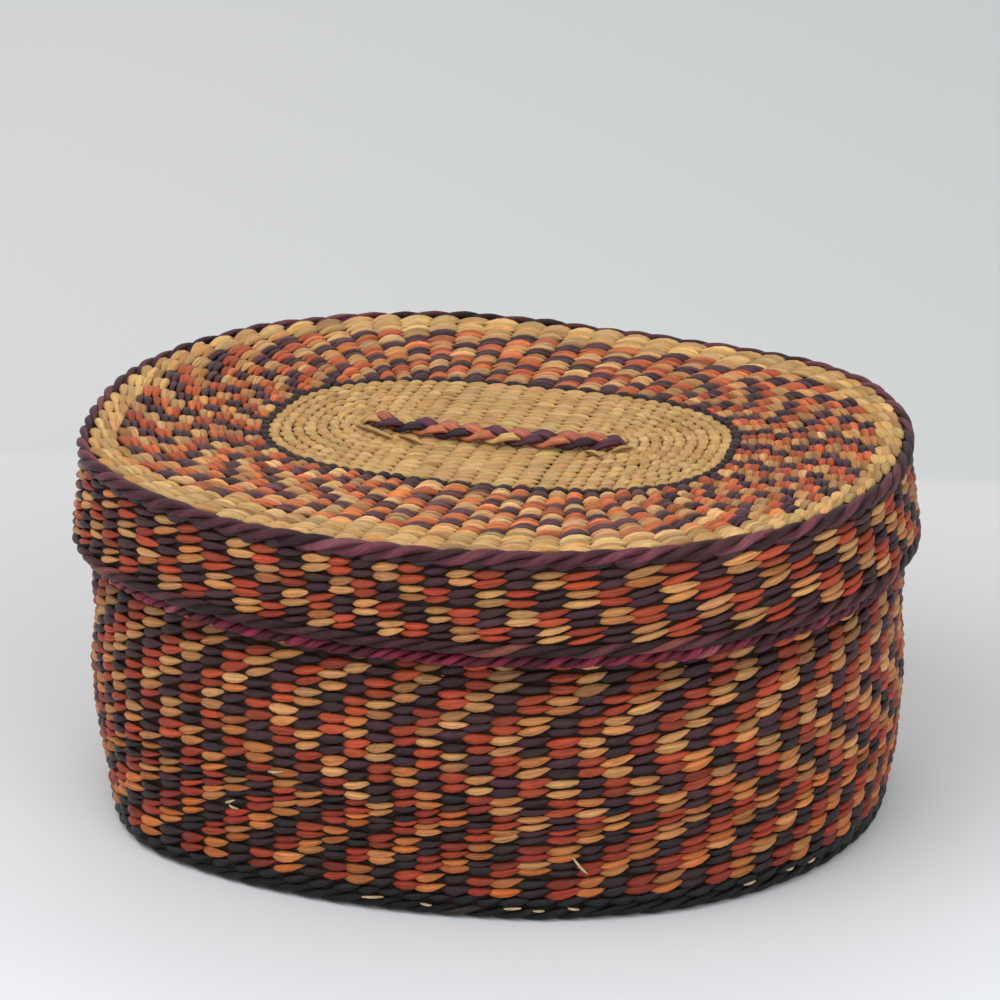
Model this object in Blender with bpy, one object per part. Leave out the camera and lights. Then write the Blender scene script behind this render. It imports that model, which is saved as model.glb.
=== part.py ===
# Oval lidded basket, twined in courses over upright warps, with a braided handle on its lid.
# Metres, +Z up. The basket stands on z = 0, with its long axis along X and its centre on the Z axis.

import math

import bmesh
import bpy
from mathutils import Matrix, Vector

MM = 0.001

# Oval outline of the body at its widest course
BODY_HALF_LENGTH = 147.2 * MM
BODY_HALF_WIDTH = 129.4 * MM
OUTLINE_SQUARENESS = 2.13  # exponent of the oval: 2 is an ellipse, more is squarer
SEGMENTS = 32

# The fabric: a layer of warps, and the weft courses twined over it
WARP_THICKNESS = 2.0 * MM
WEFT_THICKNESS = 1.7 * MM
RIB_DEPTH = 0.7 * MM  # how far the weft sinks between two ribs
FIT_GAP = 0.3 * MM  # clear gap between pieces that touch
COURSES_PER_RIB = 2  # a rib is a pair of courses that carry the same colours

# Body wall, from the foot course to the ledge
WALL_HEIGHT = 83.5 * MM
WALL_BANDS = 6
COURSES_PER_BAND = 4
BELLY_HEIGHT = 52.0 * MM
BASE_INSET = 3.2 * MM
LEDGE_INSET = 1.9 * MM
FOOT_RADIUS = 2.6 * MM
BASE_THICKNESS = 4.2 * MM
BASE_RIBS = 3
BASE_CENTRE_HALF_WIDTH = 14.0 * MM

# Ledge that the lid sits on, and the neck inside the lid
LEDGE_CORD_RADIUS = 2.6 * MM
NECK_HEIGHT = 31.0 * MM
NECK_INSET = 4.4 * MM
NECK_SLOPE_HEIGHT = 4.0 * MM
NECK_RIBS = 3
MOUTH_BRAID_RADIUS = 2.3 * MM

# Lid wall
LID_CLEARANCE = 1.7 * MM  # from the neck to the lid, at the top of the lid wall
LID_FLARE = 3.1 * MM
LID_WALL_HEIGHT = 25.2 * MM
LID_BANDS = 2
DARK_COURSE_HEIGHT = 1.9 * MM
RIM_BRAID_RADIUS = 2.4 * MM
RIM_PROUD = 0.9 * MM
SHOULDER_BRAID_RADIUS = 2.4 * MM

# Lid top: a racetrack in the middle, and courses that grow from it to the outer oval
CENTRE_HALF_LENGTH = 85.5 * MM
CENTRE_HALF_WIDTH = 52.5 * MM
CENTRE_SQUARENESS = 2.68
CENTRE_RIBS = 5
CENTRE_CORE_HALF_WIDTH = 5.0 * MM
DISH_DEPTH = 5.6 * MM
DISH_POWER = 1.5
BORDER_DROP = 0.2 * MM  # the border's crest, under the top of the shoulder braid
TOP_COURSES = {
    "outline_course": (1, 1),
    "top_courses_1": (4, 2),
    "top_courses_2": (4, 2),
    "top_courses_3": (4, 2),
    "border_courses": (3, 2),
}  # courses and ribs of each ring, from the middle outwards

# Handle: a flat braid of three strands, lying slack in a low arch
HANDLE_HALF_SPAN = 49.0 * MM
HANDLE_GAP = 2.2 * MM
HANDLE_BOW = 7.0 * MM
HANDLE_END_Y = 2.0 * MM
HANDLE_ARCH_SHARE = 0.8  # share of the half span that stays up before the ends dive
STRAND_WIDTH = 2.6 * MM
STRAND_THICKNESS = 1.6 * MM
BRAID_PERIOD = 28.0 * MM
BRAID_SWAY = 2.6 * MM
BRAID_WEAVE = 1.35 * MM
BRAID_SHARPNESS = 1.2
BRAID_POINTS_PER_PERIOD = 12
TUCK_DEPTH = 1.7 * MM
SLOT_MARGIN = 1.0 * MM  # room round the braid in its slot

# Sides of the round braids and cords, and of a strand
CORD_SIDES = 8
STRAND_SIDES = 6

# Sizes worked out from the ones above
LAYER = WEFT_THICKNESS + FIT_GAP + WARP_THICKNESS
CORNER = 1.0 / math.cos(math.pi / CORD_SIDES)
BAND_HEIGHT = WALL_HEIGHT / WALL_BANDS
COURSE_HEIGHT = BAND_HEIGHT / COURSES_PER_BAND
FOOT_TOP = 2 * FOOT_RADIUS
FOOT_COURSE_Z = FOOT_TOP + FIT_GAP
WALL_START = FOOT_COURSE_Z + COURSE_HEIGHT + FIT_GAP
LEDGE_Z = WALL_START + WALL_HEIGHT
CORD_Z = LEDGE_Z + FIT_GAP + LEDGE_CORD_RADIUS
CORD_OFFSET = LEDGE_CORD_RADIUS - LEDGE_INSET
CORD_TOP = CORD_Z + LEDGE_CORD_RADIUS
NECK_TOP = LEDGE_Z + NECK_HEIGHT
LID_TOP_INNER = LID_CLEARANCE - NECK_INSET
LID_RIM_INNER = LID_TOP_INNER + LID_FLARE
RIM_OFFSET = LID_RIM_INNER + LAYER + RIM_PROUD - RIM_BRAID_RADIUS
RIM_REACH = (LEDGE_CORD_RADIUS + RIM_BRAID_RADIUS) * CORNER + FIT_GAP
RIM_Z = CORD_Z + math.sqrt(RIM_REACH ** 2 - (RIM_OFFSET - CORD_OFFSET) ** 2)
LID_WALL_Z = RIM_Z + RIM_BRAID_RADIUS + FIT_GAP
LID_BAND_HEIGHT = LID_WALL_HEIGHT / LID_BANDS
DARK_COURSE_Z = LID_WALL_Z + LID_WALL_HEIGHT
LID_WALL_TOP = DARK_COURSE_Z + DARK_COURSE_HEIGHT
SHOULDER_Z = LID_WALL_TOP + FIT_GAP + SHOULDER_BRAID_RADIUS
SHOULDER_OFFSET = LID_TOP_INNER + LAYER - SHOULDER_BRAID_RADIUS
LID_EDGE_OFFSET = SHOULDER_OFFSET - SHOULDER_BRAID_RADIUS - FIT_GAP
LID_EDGE_Z = SHOULDER_Z + SHOULDER_BRAID_RADIUS - BORDER_DROP
LID_CENTRE_Z = LID_EDGE_Z - DISH_DEPTH
BRAID_HALF_HEIGHT = BRAID_WEAVE + STRAND_THICKNESS / 2
BRAID_HALF_WIDTH = BRAID_SWAY + STRAND_WIDTH / 2
HANDLE_Z = LID_CENTRE_Z + HANDLE_GAP + BRAID_HALF_HEIGHT

# Colours as seen, 0 to 255
NATURAL = (203, 165, 100)
RUST = (150, 70, 45)
RUST_DEEP = (120, 58, 38)
SALMON = (200, 104, 70)
PLUM = (84, 50, 60)
MAGENTA = (120, 40, 60)
CHARCOAL = (40, 36, 34)


def clear_scene():
    for thing in list(bpy.data.objects):
        bpy.data.objects.remove(thing, do_unlink=True)


def new_collection(name):
    collection = bpy.data.collections.new(name)
    bpy.context.scene.collection.children.link(collection)
    return collection


def fibre_material(name, colour, roughness):
    """A plain plant-fibre finish of one dyed colour."""
    material = bpy.data.materials.new(name)
    material.use_nodes = True
    shader = material.node_tree.nodes["Principled BSDF"]
    linear = [(channel / 255) ** 2.2 for channel in colour]
    shader.inputs["Base Color"].default_value = (*linear, 1.0)
    shader.inputs["Roughness"].default_value = roughness
    shader.inputs["Metallic"].default_value = 0.0
    return material


def finish(piece, colour, roughness=0.55):
    piece.data.materials.append(fibre_material(piece.name + "_fibre", colour, roughness))
    return piece


def oval(half_length, half_width, squareness):
    """Corner points of a level oval, anticlockwise from +X."""
    points = []
    for step in range(SEGMENTS):
        angle = 2 * math.pi * step / SEGMENTS
        across, along = math.sin(angle), math.cos(angle)
        x = half_length * math.copysign(abs(along) ** (2 / squareness), along)
        y = half_width * math.copysign(abs(across) ** (2 / squareness), across)
        points.append(Vector((x, y, 0.0)))
    return points


def offset_oval(points, distance):
    """The same oval, moved outwards by a distance along its normals."""
    moved = []
    for index, point in enumerate(points):
        tangent = points[(index + 1) % len(points)] - points[index - 1]
        normal = Vector((tangent.y, -tangent.x, 0.0)).normalized()
        moved.append(point + normal * distance)
    return moved


def polyline_curve(name, points, cyclic, collection):
    curve = bpy.data.curves.new(name, "CURVE")
    curve.dimensions = "3D"
    curve.twist_mode = "Z_UP"
    spline = curve.splines.new("POLY")
    spline.points.add(len(points) - 1)
    for knot, point in zip(spline.points, points):
        knot.co = (*point, 1.0)
    spline.use_cyclic_u = cyclic
    piece = bpy.data.objects.new(name, curve)
    collection.objects.link(piece)
    return piece


def profile_guide(name, outline, guides):
    """A closed section, given anticlockwise as (outward offset, height)."""
    points = [Vector((offset, height, 0.0)) for offset, height in reversed(outline)]
    guide = polyline_curve(name + "_profile", points, True, guides)
    guide.hide_render = True
    guide.display_type = "WIRE"
    return guide


def sweep_round(name, outline, parts, guides):
    """Sweeps a section round the body's oval."""
    path = oval(BODY_HALF_LENGTH, BODY_HALF_WIDTH, OUTLINE_SQUARENESS)
    piece = polyline_curve(name, path, True, parts)
    piece.data.bevel_mode = "OBJECT"
    piece.data.bevel_object = profile_guide(name, outline, guides)
    return piece


def cord_outline(offset, height, radius):
    """A round cord's section, with flats below, above and at its sides."""
    outline = []
    for side in range(CORD_SIDES):
        angle = 2 * math.pi * (side + 0.5) / CORD_SIDES
        reach = radius * CORNER
        outline.append((offset + reach * math.cos(angle), height + reach * math.sin(angle)))
    return outline


def band_outline(bottom, top, ribs, crest):
    """Section of a band of courses: ribs outside, a plain face against the warps inside."""
    low, high = bottom + FIT_GAP / 2, top - FIT_GAP / 2
    outline = []
    for step in range(2 * ribs + 1):
        height = low + (high - low) * step / (2 * ribs)
        sink = RIB_DEPTH if step % 2 == 0 else 0.0
        outline.append((crest(height) - sink, height))
    outline.append((crest(high) - WEFT_THICKNESS, high))
    outline.append((crest(low) - WEFT_THICKNESS, low))
    return outline


def wall_crest(height):
    """Offset of the body's outer ribs: widest at the belly, drawn in above and below."""
    if height > BELLY_HEIGHT:
        return -LEDGE_INSET * ((height - BELLY_HEIGHT) / (LEDGE_Z - BELLY_HEIGHT)) ** 2
    return -BASE_INSET * ((BELLY_HEIGHT - height) / BELLY_HEIGHT) ** 2


def neck_crest(height):
    """Offset of the neck's ribs: behind the ledge cord, then drawn in to clear the lid."""
    share = min(max((height - CORD_TOP) / NECK_SLOPE_HEIGHT, 0.0), 1.0)
    behind_cord = -LEDGE_INSET - FIT_GAP
    return behind_cord + (-NECK_INSET - behind_cord) * share


def lid_crest(height):
    """Offset of the lid wall's ribs, which flares down to the rim."""
    share = (LID_WALL_TOP - height) / (LID_WALL_TOP - LID_WALL_Z)
    return LID_TOP_INNER + LAYER + LID_FLARE * share


def ring_loft(name, rings, parts, capped=False):
    """Joins level rings into one closed body; with caps, the first and last ring are filled."""
    mesh = bpy.data.meshes.new(name)
    shape = bmesh.new()
    loops = [[shape.verts.new(point) for point in ring] for ring in rings]
    pairs = list(zip(loops, loops[1:]))
    if not capped:
        pairs.append((loops[-1], loops[0]))
    for first, second in pairs:
        for index in range(SEGMENTS):
            after = (index + 1) % SEGMENTS
            shape.faces.new((first[index], first[after], second[after], second[index]))
    if capped:
        shape.faces.new(loops[0])
        shape.faces.new(loops[-1])
    bmesh.ops.recalc_face_normals(shape, faces=shape.faces)
    shape.to_mesh(mesh)
    shape.free()
    mesh.shade_smooth()
    mesh.set_sharp_from_angle(angle=math.radians(50))
    piece = bpy.data.objects.new(name, mesh)
    parts.objects.link(piece)
    return piece


def between(inner, outer, share, shift, height):
    """A ring a share of the way from one oval to another, shifted outwards, at a height."""
    ring = []
    for start, end in zip(inner, outer):
        outward = (end - start).normalized()
        point = start.lerp(end, share) + outward * shift
        ring.append(Vector((point.x, point.y, height)))
    return ring


def lid_edge_oval():
    body = oval(BODY_HALF_LENGTH, BODY_HALF_WIDTH, OUTLINE_SQUARENESS)
    return offset_oval(body, LID_EDGE_OFFSET)


def centre_oval():
    return oval(CENTRE_HALF_LENGTH, CENTRE_HALF_WIDTH, CENTRE_SQUARENESS)


def core_oval(half_width):
    """The line that the courses of a flat panel start round."""
    half_length = CENTRE_HALF_LENGTH - CENTRE_HALF_WIDTH + half_width
    return oval(half_length, half_width, OUTLINE_SQUARENESS)


def dish(share):
    """Height of the lid's top, from the racetrack out to the shoulder."""
    return LID_CENTRE_Z + DISH_DEPTH * share ** DISH_POWER


def make_base(parts, guides):
    """Flat base panel with grooves between its courses, and the braid that it stands on."""
    foot_offset = wall_crest(FOOT_RADIUS) - FOOT_RADIUS
    foot = sweep_round("foot_braid", cord_outline(foot_offset, FOOT_RADIUS, FOOT_RADIUS), parts, guides)
    finish(foot, CHARCOAL)
    body = oval(BODY_HALF_LENGTH, BODY_HALF_WIDTH, OUTLINE_SQUARENESS)
    edge = offset_oval(body, foot_offset - FOOT_RADIUS - FIT_GAP)
    core = core_oval(BASE_CENTRE_HALF_WIDTH)
    rings = [between(core, edge, 0.0, 0.0, 0.0)]
    for rib in range(BASE_RIBS):
        start, end = rib / BASE_RIBS, (rib + 1) / BASE_RIBS
        rings.append(between(core, edge, start, RIB_DEPTH, RIB_DEPTH))
        rings.append(between(core, edge, start, 2 * RIB_DEPTH, 0.0))
        rings.append(between(core, edge, end, -RIB_DEPTH, 0.0))
    rings.append(between(core, edge, 1.0, 0.0, RIB_DEPTH))
    rings.append(between(core, edge, 1.0, 0.0, BASE_THICKNESS - RIB_DEPTH))
    rings.append(between(core, edge, 1.0, -RIB_DEPTH, BASE_THICKNESS))
    rings.append(between(core, edge, 0.0, 0.0, BASE_THICKNESS))
    finish(ring_loft("base_panel", rings, parts, capped=True), RUST_DEEP)


def make_body_wall(parts, guides):
    """Warps from the foot to the mouth, with the courses twined over their outer side."""
    def warp_face(height):
        crest = wall_crest(height) if height < LEDGE_Z else neck_crest(height)
        return crest - WEFT_THICKNESS - FIT_GAP
    heights = [FOOT_COURSE_Z] + [WALL_START + band * BAND_HEIGHT for band in range(WALL_BANDS)]
    heights += [LEDGE_Z, CORD_TOP, CORD_TOP + NECK_SLOPE_HEIGHT, NECK_TOP]
    outline = [(warp_face(height), height) for height in heights]
    inside = heights[:WALL_BANDS:2] + heights[-3:]
    outline += [(warp_face(height) - WARP_THICKNESS, height) for height in reversed(inside)]
    finish(sweep_round("body_warps", outline, parts, guides), NATURAL)
    foot_course = band_outline(FOOT_COURSE_Z, WALL_START - FIT_GAP, 1, wall_crest)
    finish(sweep_round("foot_course", foot_course, parts, guides), CHARCOAL)
    for band in range(WALL_BANDS):
        bottom = LEDGE_Z - (band + 1) * BAND_HEIGHT
        ribs = COURSES_PER_BAND // COURSES_PER_RIB
        outline = band_outline(bottom, bottom + BAND_HEIGHT, ribs, wall_crest)
        colour = RUST if band < WALL_BANDS // 2 else RUST_DEEP
        finish(sweep_round(f"wall_courses_{band + 1}", outline, parts, guides), colour)


def make_neck(parts, guides):
    """Ledge cord that carries the lid, the courses inside the lid, and the braid of the mouth."""
    ledge = cord_outline(CORD_OFFSET, CORD_Z, LEDGE_CORD_RADIUS)
    finish(sweep_round("ledge_cord", ledge, parts, guides), MAGENTA, 0.45)
    slope_top = CORD_TOP + NECK_SLOPE_HEIGHT
    low, high = LEDGE_Z + FIT_GAP / 2, NECK_TOP
    outline = [(neck_crest(low), low), (neck_crest(CORD_TOP), CORD_TOP)]
    for step in range(2 * NECK_RIBS + 1):
        height = slope_top + (high - slope_top) * step / (2 * NECK_RIBS)
        sink = RIB_DEPTH if step % 2 == 0 else 0.0
        outline.append((neck_crest(height) - sink, height))
    for height in (high, slope_top, CORD_TOP, low):
        outline.append((neck_crest(height) - WEFT_THICKNESS, height))
    finish(sweep_round("neck_courses", outline, parts, guides), RUST)
    mouth_offset = -NECK_INSET - LAYER / 2
    mouth_z = NECK_TOP + FIT_GAP + MOUTH_BRAID_RADIUS
    mouth = cord_outline(mouth_offset, mouth_z, MOUTH_BRAID_RADIUS)
    finish(sweep_round("mouth_braid", mouth, parts, guides), PLUM)


def make_lid_wall(parts, guides):
    """Flared wall of the lid between its rim braid and its shoulder braid."""
    rim = cord_outline(RIM_OFFSET, RIM_Z, RIM_BRAID_RADIUS)
    finish(sweep_round("lid_rim_braid", rim, parts, guides), PLUM)
    low, high = LID_WALL_Z, LID_WALL_TOP
    outside = WEFT_THICKNESS + FIT_GAP
    outline = [(lid_crest(low) - outside, low), (lid_crest(high) - outside, high)]
    outline += [(lid_crest(high) - LAYER, high), (lid_crest(low) - LAYER, low)]
    finish(sweep_round("lid_wall_warps", outline, parts, guides), NATURAL)
    for band in range(LID_BANDS):
        top = DARK_COURSE_Z - band * LID_BAND_HEIGHT
        ribs = COURSES_PER_BAND // COURSES_PER_RIB
        outline = band_outline(top - LID_BAND_HEIGHT, top, ribs, lid_crest)
        finish(sweep_round(f"lid_wall_courses_{band + 1}", outline, parts, guides), RUST)
    dark = band_outline(DARK_COURSE_Z, LID_WALL_TOP, 1, lid_crest)
    finish(sweep_round("lid_dark_course", dark, parts, guides), PLUM)
    shoulder = cord_outline(SHOULDER_OFFSET, SHOULDER_Z, SHOULDER_BRAID_RADIUS)
    finish(sweep_round("shoulder_braid", shoulder, parts, guides), PLUM, 0.4)


def make_lid_top(parts):
    """Dished top: a ring of warps, and on it the rings of courses from racetrack to shoulder."""
    inner, outer = centre_oval(), lid_edge_oval()
    total = sum(courses for courses, ribs in TOP_COURSES.values())
    bounds = [0.0]
    for courses, ribs in TOP_COURSES.values():
        bounds.append(bounds[-1] + courses / total)
    colours = (CHARCOAL, RUST, RUST, RUST, NATURAL)
    for index, (name, (courses, ribs)) in enumerate(TOP_COURSES.items()):
        start, end = bounds[index], bounds[index + 1]
        rings = []
        for step in range(2 * ribs + 1):
            share = start + (end - start) * step / (2 * ribs)
            shift = FIT_GAP / 2 if step == 0 else 0.0
            shift = -FIT_GAP / 2 if step == 2 * ribs else shift
            sink = RIB_DEPTH if step % 2 == 0 else 0.0
            rings.append(between(inner, outer, share, shift, dish(share) - sink))
        rings.append(between(inner, outer, end, -FIT_GAP / 2, dish(end) - WEFT_THICKNESS))
        rings.append(between(inner, outer, start, FIT_GAP / 2, dish(start) - WEFT_THICKNESS))
        finish(ring_loft(name, rings, parts), colours[index])
    rings = []
    for index, share in enumerate(bounds):
        shift = FIT_GAP / 2 if index == 0 else 0.0
        rings.append(between(inner, outer, share, shift, dish(share) - WEFT_THICKNESS - FIT_GAP))
    rings.append(between(inner, outer, 1.0, 0.0, dish(1.0) - LAYER))
    rings.append(between(inner, outer, 0.0, FIT_GAP / 2, dish(0.0) - LAYER))
    finish(ring_loft("lid_top_warps", rings, parts), NATURAL)


def make_centre_panel(parts, cutters):
    """Racetrack in the middle of the lid, with a slot at each end where the handle is tucked in."""
    core, edge = core_oval(CENTRE_CORE_HALF_WIDTH), centre_oval()
    rings = [between(core, edge, 0.0, 0.0, LID_CENTRE_Z)]
    for step in range(1, 2 * CENTRE_RIBS + 1):
        share = step / (2 * CENTRE_RIBS)
        shift = -FIT_GAP / 2 if step == 2 * CENTRE_RIBS else 0.0
        sink = RIB_DEPTH if step % 2 == 0 else 0.0
        rings.append(between(core, edge, share, shift, LID_CENTRE_Z - sink))
    rings.append(between(core, edge, 1.0, -FIT_GAP / 2, LID_CENTRE_Z - LAYER))
    rings.append(between(core, edge, 0.0, 0.0, LID_CENTRE_Z - LAYER))
    panel = finish(ring_loft("centre_panel", rings, parts, capped=True), NATURAL)
    for side, sign in (("left", -1), ("right", 1)):
        slot = tuck_slot(f"tuck_slot_{side}", sign, cutters)
        cut = panel.modifiers.new(slot.name, "BOOLEAN")
        cut.object = slot
        cut.operation = "DIFFERENCE"
        cut.solver = "EXACT"


def handle_line(along):
    """Point of the braid's centre line, for a place from -1 to 1 along its span."""
    reach = abs(along)
    dive = min(max((reach - HANDLE_ARCH_SHARE) / (1 - HANDLE_ARCH_SHARE), 0.0), 1.0)
    dive = dive * dive * (3 - 2 * dive)
    end_z = LID_CENTRE_Z - TUCK_DEPTH
    height = HANDLE_Z + (end_z - HANDLE_Z) * dive
    return Vector((HANDLE_HALF_SPAN * along, HANDLE_END_Y - HANDLE_BOW * (1 - along * along), height))


def handle_frame(along):
    """Centre, sideways and upward directions of the braid at a place along its span."""
    step = 0.002
    tangent = (handle_line(along + step) - handle_line(along - step)).normalized()
    sideways = Vector((0.0, 0.0, 1.0)).cross(tangent).normalized()
    return handle_line(along), sideways, tangent.cross(sideways)


def slot_start():
    """Where the underside of the diving braid meets the panel, as a share of the half span."""
    share = HANDLE_ARCH_SHARE
    under = handle_line(share)
    while share < 1.0 and under.z > LID_CENTRE_Z:
        share += 0.005
        centre, sideways, upward = handle_frame(share)
        under = centre - upward * (BRAID_HALF_HEIGHT + SLOT_MARGIN)
    return under.x / HANDLE_HALF_SPAN


def tuck_slot(name, sign, cutters):
    """Cutter for the opening between the courses that takes one end of the braid."""
    start, end = slot_start() * HANDLE_HALF_SPAN, HANDLE_HALF_SPAN + SLOT_MARGIN
    middle = handle_line((start + end) / 2 / HANDLE_HALF_SPAN)
    width = 2 * (BRAID_HALF_WIDTH + SLOT_MARGIN)
    bpy.ops.mesh.primitive_cube_add(size=1.0)
    slot = bpy.context.object
    slot.name = name
    place = Vector((sign * (start + end) / 2, middle.y, LID_CENTRE_Z))
    slot.data.transform(Matrix.Translation(place) @ Matrix.Diagonal((end - start, width, 3 * LAYER, 1.0)))
    for collection in list(slot.users_collection):
        collection.objects.unlink(slot)
    cutters.objects.link(slot)
    slot.hide_render = True
    slot.display_type = "WIRE"
    return slot


def make_handle(parts, guides):
    """Three interlaced strands: each goes over on its way in to the middle and under on its way out."""
    section = []
    for side in range(STRAND_SIDES):
        angle = 2 * math.pi * side / STRAND_SIDES
        section.append((STRAND_WIDTH / 2 * math.cos(angle), STRAND_THICKNESS / 2 * math.sin(angle)))
    guide = profile_guide("handle_strand", section, guides)
    steps = round(2 * HANDLE_HALF_SPAN / BRAID_PERIOD * BRAID_POINTS_PER_PERIOD)
    strands = (("plum", PLUM), ("salmon", SALMON), ("natural", NATURAL))
    for turn, (dye, colour) in enumerate(strands):
        points = []
        for step in range(steps + 1):
            along = -1.0 + 2.0 * step / steps
            centre, sideways, upward = handle_frame(along)
            phase = 2 * math.pi * (along * HANDLE_HALF_SPAN / BRAID_PERIOD + turn / len(strands))
            sway = BRAID_SWAY * math.sin(phase)
            weave = math.tanh(-BRAID_SHARPNESS * math.sin(2 * phase)) / math.tanh(BRAID_SHARPNESS)
            points.append(centre + sideways * sway + upward * BRAID_WEAVE * weave)
        strand = polyline_curve(f"handle_strand_{dye}", points, False, parts)
        strand.data.bevel_mode = "OBJECT"
        strand.data.bevel_object = guide
        strand.data.use_fill_caps = True
        finish(strand, colour, 0.45)


def hang_lid(parts, lid_names):
    """Parents the lid's pieces to an empty on the line that the lid is lifted along."""
    axis = bpy.data.objects.new("lid_lift_axis", None)
    axis.location = (0.0, 0.0, RIM_Z)
    parts.objects.link(axis)
    for name in lid_names:
        piece = bpy.data.objects[name]
        piece.parent = axis
        piece.matrix_parent_inverse = Matrix.Translation((0.0, 0.0, -RIM_Z))


def main():
    clear_scene()
    parts = new_collection("lidded_oval_basket")
    guides = new_collection("guides_and_cutters")
    make_base(parts, guides)
    make_body_wall(parts, guides)
    make_neck(parts, guides)
    body_names = {piece.name for piece in parts.objects}
    make_lid_wall(parts, guides)
    make_lid_top(parts)
    make_centre_panel(parts, guides)
    make_handle(parts, guides)
    lid_names = [piece.name for piece in parts.objects if piece.name not in body_names]
    hang_lid(parts, lid_names)


main()
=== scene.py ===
# Lidded oval basket, twined from dyed and undyed plant fibre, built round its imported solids.
from math import cos, pi, radians, sin, tanh

import bmesh
import bpy
import numpy as np
from mathutils import Matrix, Vector


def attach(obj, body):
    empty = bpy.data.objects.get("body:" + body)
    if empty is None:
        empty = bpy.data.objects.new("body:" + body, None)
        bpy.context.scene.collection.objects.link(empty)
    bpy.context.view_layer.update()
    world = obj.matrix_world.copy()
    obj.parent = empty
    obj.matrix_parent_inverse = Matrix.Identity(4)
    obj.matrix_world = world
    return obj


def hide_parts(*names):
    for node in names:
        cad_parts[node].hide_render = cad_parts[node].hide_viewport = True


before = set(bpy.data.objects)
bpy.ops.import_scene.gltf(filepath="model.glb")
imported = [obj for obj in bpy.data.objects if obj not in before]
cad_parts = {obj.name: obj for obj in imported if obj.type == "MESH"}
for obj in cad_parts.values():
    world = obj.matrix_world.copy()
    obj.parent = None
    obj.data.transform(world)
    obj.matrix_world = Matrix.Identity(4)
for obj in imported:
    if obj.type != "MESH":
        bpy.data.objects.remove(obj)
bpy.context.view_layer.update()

mm = 0.001  # the tables below are in millimetres
scene = bpy.context.scene
chance = np.random.default_rng(11)  # every random draw comes from here, in order
upright = np.array((0.0, 0.0, 1.0))
vector, number = "FLOAT_VECTOR", "FLOAT"


def pin(sockets, name):  # a socket by its identifier, or else by its name
    for socket in sockets:
        if socket.identifier == name:
            return socket
    return next(socket for socket in sockets if socket.name == name and socket.enabled)


def operator(operation, swapped=False):
    def apply(self, other):
        first, second = (other, self) if swapped else (self, other)
        values = {"Value": first, "Value_001": second}
        return self.net.add("ShaderNodeMath", {"operation": operation}, values)

    return apply


class Term:  # a socket that adds a Math node for each operator it meets
    def __init__(self, net, socket):
        self.net, self.socket = net, socket

    def sized(self):  # its absolute value
        return self.net.add("ShaderNodeMath", {"operation": "ABSOLUTE"}, {"Value": self})

    def held(self):  # kept between 0 and 1
        return self.net.add("ShaderNodeClamp", {}, {"Value": self})

    __add__ = __radd__ = operator("ADD")
    __mul__ = __rmul__ = operator("MULTIPLY")
    __sub__, __rsub__ = operator("SUBTRACT"), operator("SUBTRACT", True)
    __pow__ = operator("POWER")


class Net:  # a node tree that is written from Python
    def __init__(self, tree):
        self.tree = tree

    def fill(self, node, values):
        for name, value in values.items():
            socket = pin(node.inputs, name)
            if isinstance(value, Term):
                self.tree.links.new(value.socket, socket)
            else:
                socket.default_value = value

    def add(self, kind, settings=None, values=None, out=None):
        node = self.tree.nodes.new(kind)
        for name, value in (settings or {}).items():
            setattr(node, name, value)
        self.fill(node, values or {})
        return Term(self, pin(node.outputs, out) if out else node.outputs[0])

    def join(self, x, y, z):
        return self.add("ShaderNodeCombineXYZ", {}, {"X": x, "Y": y, "Z": z})

    def split(self, place):
        parts = self.add("ShaderNodeSeparateXYZ", {}, {"Vector": place})
        return [Term(self, socket) for socket in parts.socket.node.outputs]

    def scaled(self, place, amount):
        values = {"Vector": place, "Scale": amount}
        return self.add("ShaderNodeVectorMath", {"operation": "SCALE"}, values)

    def mixed(self, share, first, second, blend="MIX"):
        settings = {"data_type": "RGBA", "blend_type": blend}
        values = {"Factor_Float": share, "A_Color": first, "B_Color": second}
        return self.add("ShaderNodeMix", settings, values, "Result_Color")

    def noise(self, place, scale, detail=2.0, roughness=0.5):
        values = {"Vector": place, "Scale": scale, "Detail": detail, "Roughness": roughness}
        return self.add("ShaderNodeTexNoise", {"noise_dimensions": "3D"}, values, "Fac")


def newMaterial(name):
    material = bpy.data.materials.new(name)
    material.use_nodes = True
    return material, Net(material.node_tree), material.node_tree.nodes["Principled BSDF"]


def coat(net, shader, look, colour, gloss, relief):
    values = {"Strength": look["bump"], "Distance": look["bumpDepth"], "Height": relief}
    normal = net.add("ShaderNodeBump", {}, values, "Normal")
    values = {"Base Color": colour, "Roughness": gloss, "Normal": normal}
    net.fill(shader, {**values, "Specular IOR Level": look["specular"]})


def linear(colour):  # 0 to 255 as seen, to the light that Blender counts in
    share = np.asarray(colour, float) / 255
    return np.where(share <= 0.04045, share / 12.92, ((share + 0.055) / 1.055) ** 2.4)


def paint(colour):
    return (*linear(colour), 1.0)


view = dict(
    azimuth=14.99,
    elevation=20.42,
    lens=148.13,
    sensor=36.0,
    distance=1488.63,
    aim=(0, 0, 75.0),
    slide=(0.81, 27.89),  # how far the camera then moves to its right and up
)


def makeCamera(sizes):
    azimuth, elevation = radians(sizes["azimuth"]), radians(sizes["elevation"])
    level = cos(elevation)
    right = Vector((cos(azimuth), sin(azimuth), 0.0))
    back = Vector((sin(azimuth) * level, -cos(azimuth) * level, sin(elevation)))
    up = back.cross(right)
    across, above = sizes["slide"]
    place = Vector(sizes["aim"]) + back * sizes["distance"] + right * across + up * above
    lens = bpy.data.cameras.new("camera")
    lens.lens, lens.sensor_width = sizes["lens"], sizes["sensor"]
    camera = bpy.data.objects.new("camera", lens)
    turn = Matrix((right, up, back)).transposed().to_4x4()
    camera.matrix_world = Matrix.Translation(place * mm) @ turn
    scene.collection.objects.link(camera)
    scene.camera = camera


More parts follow.
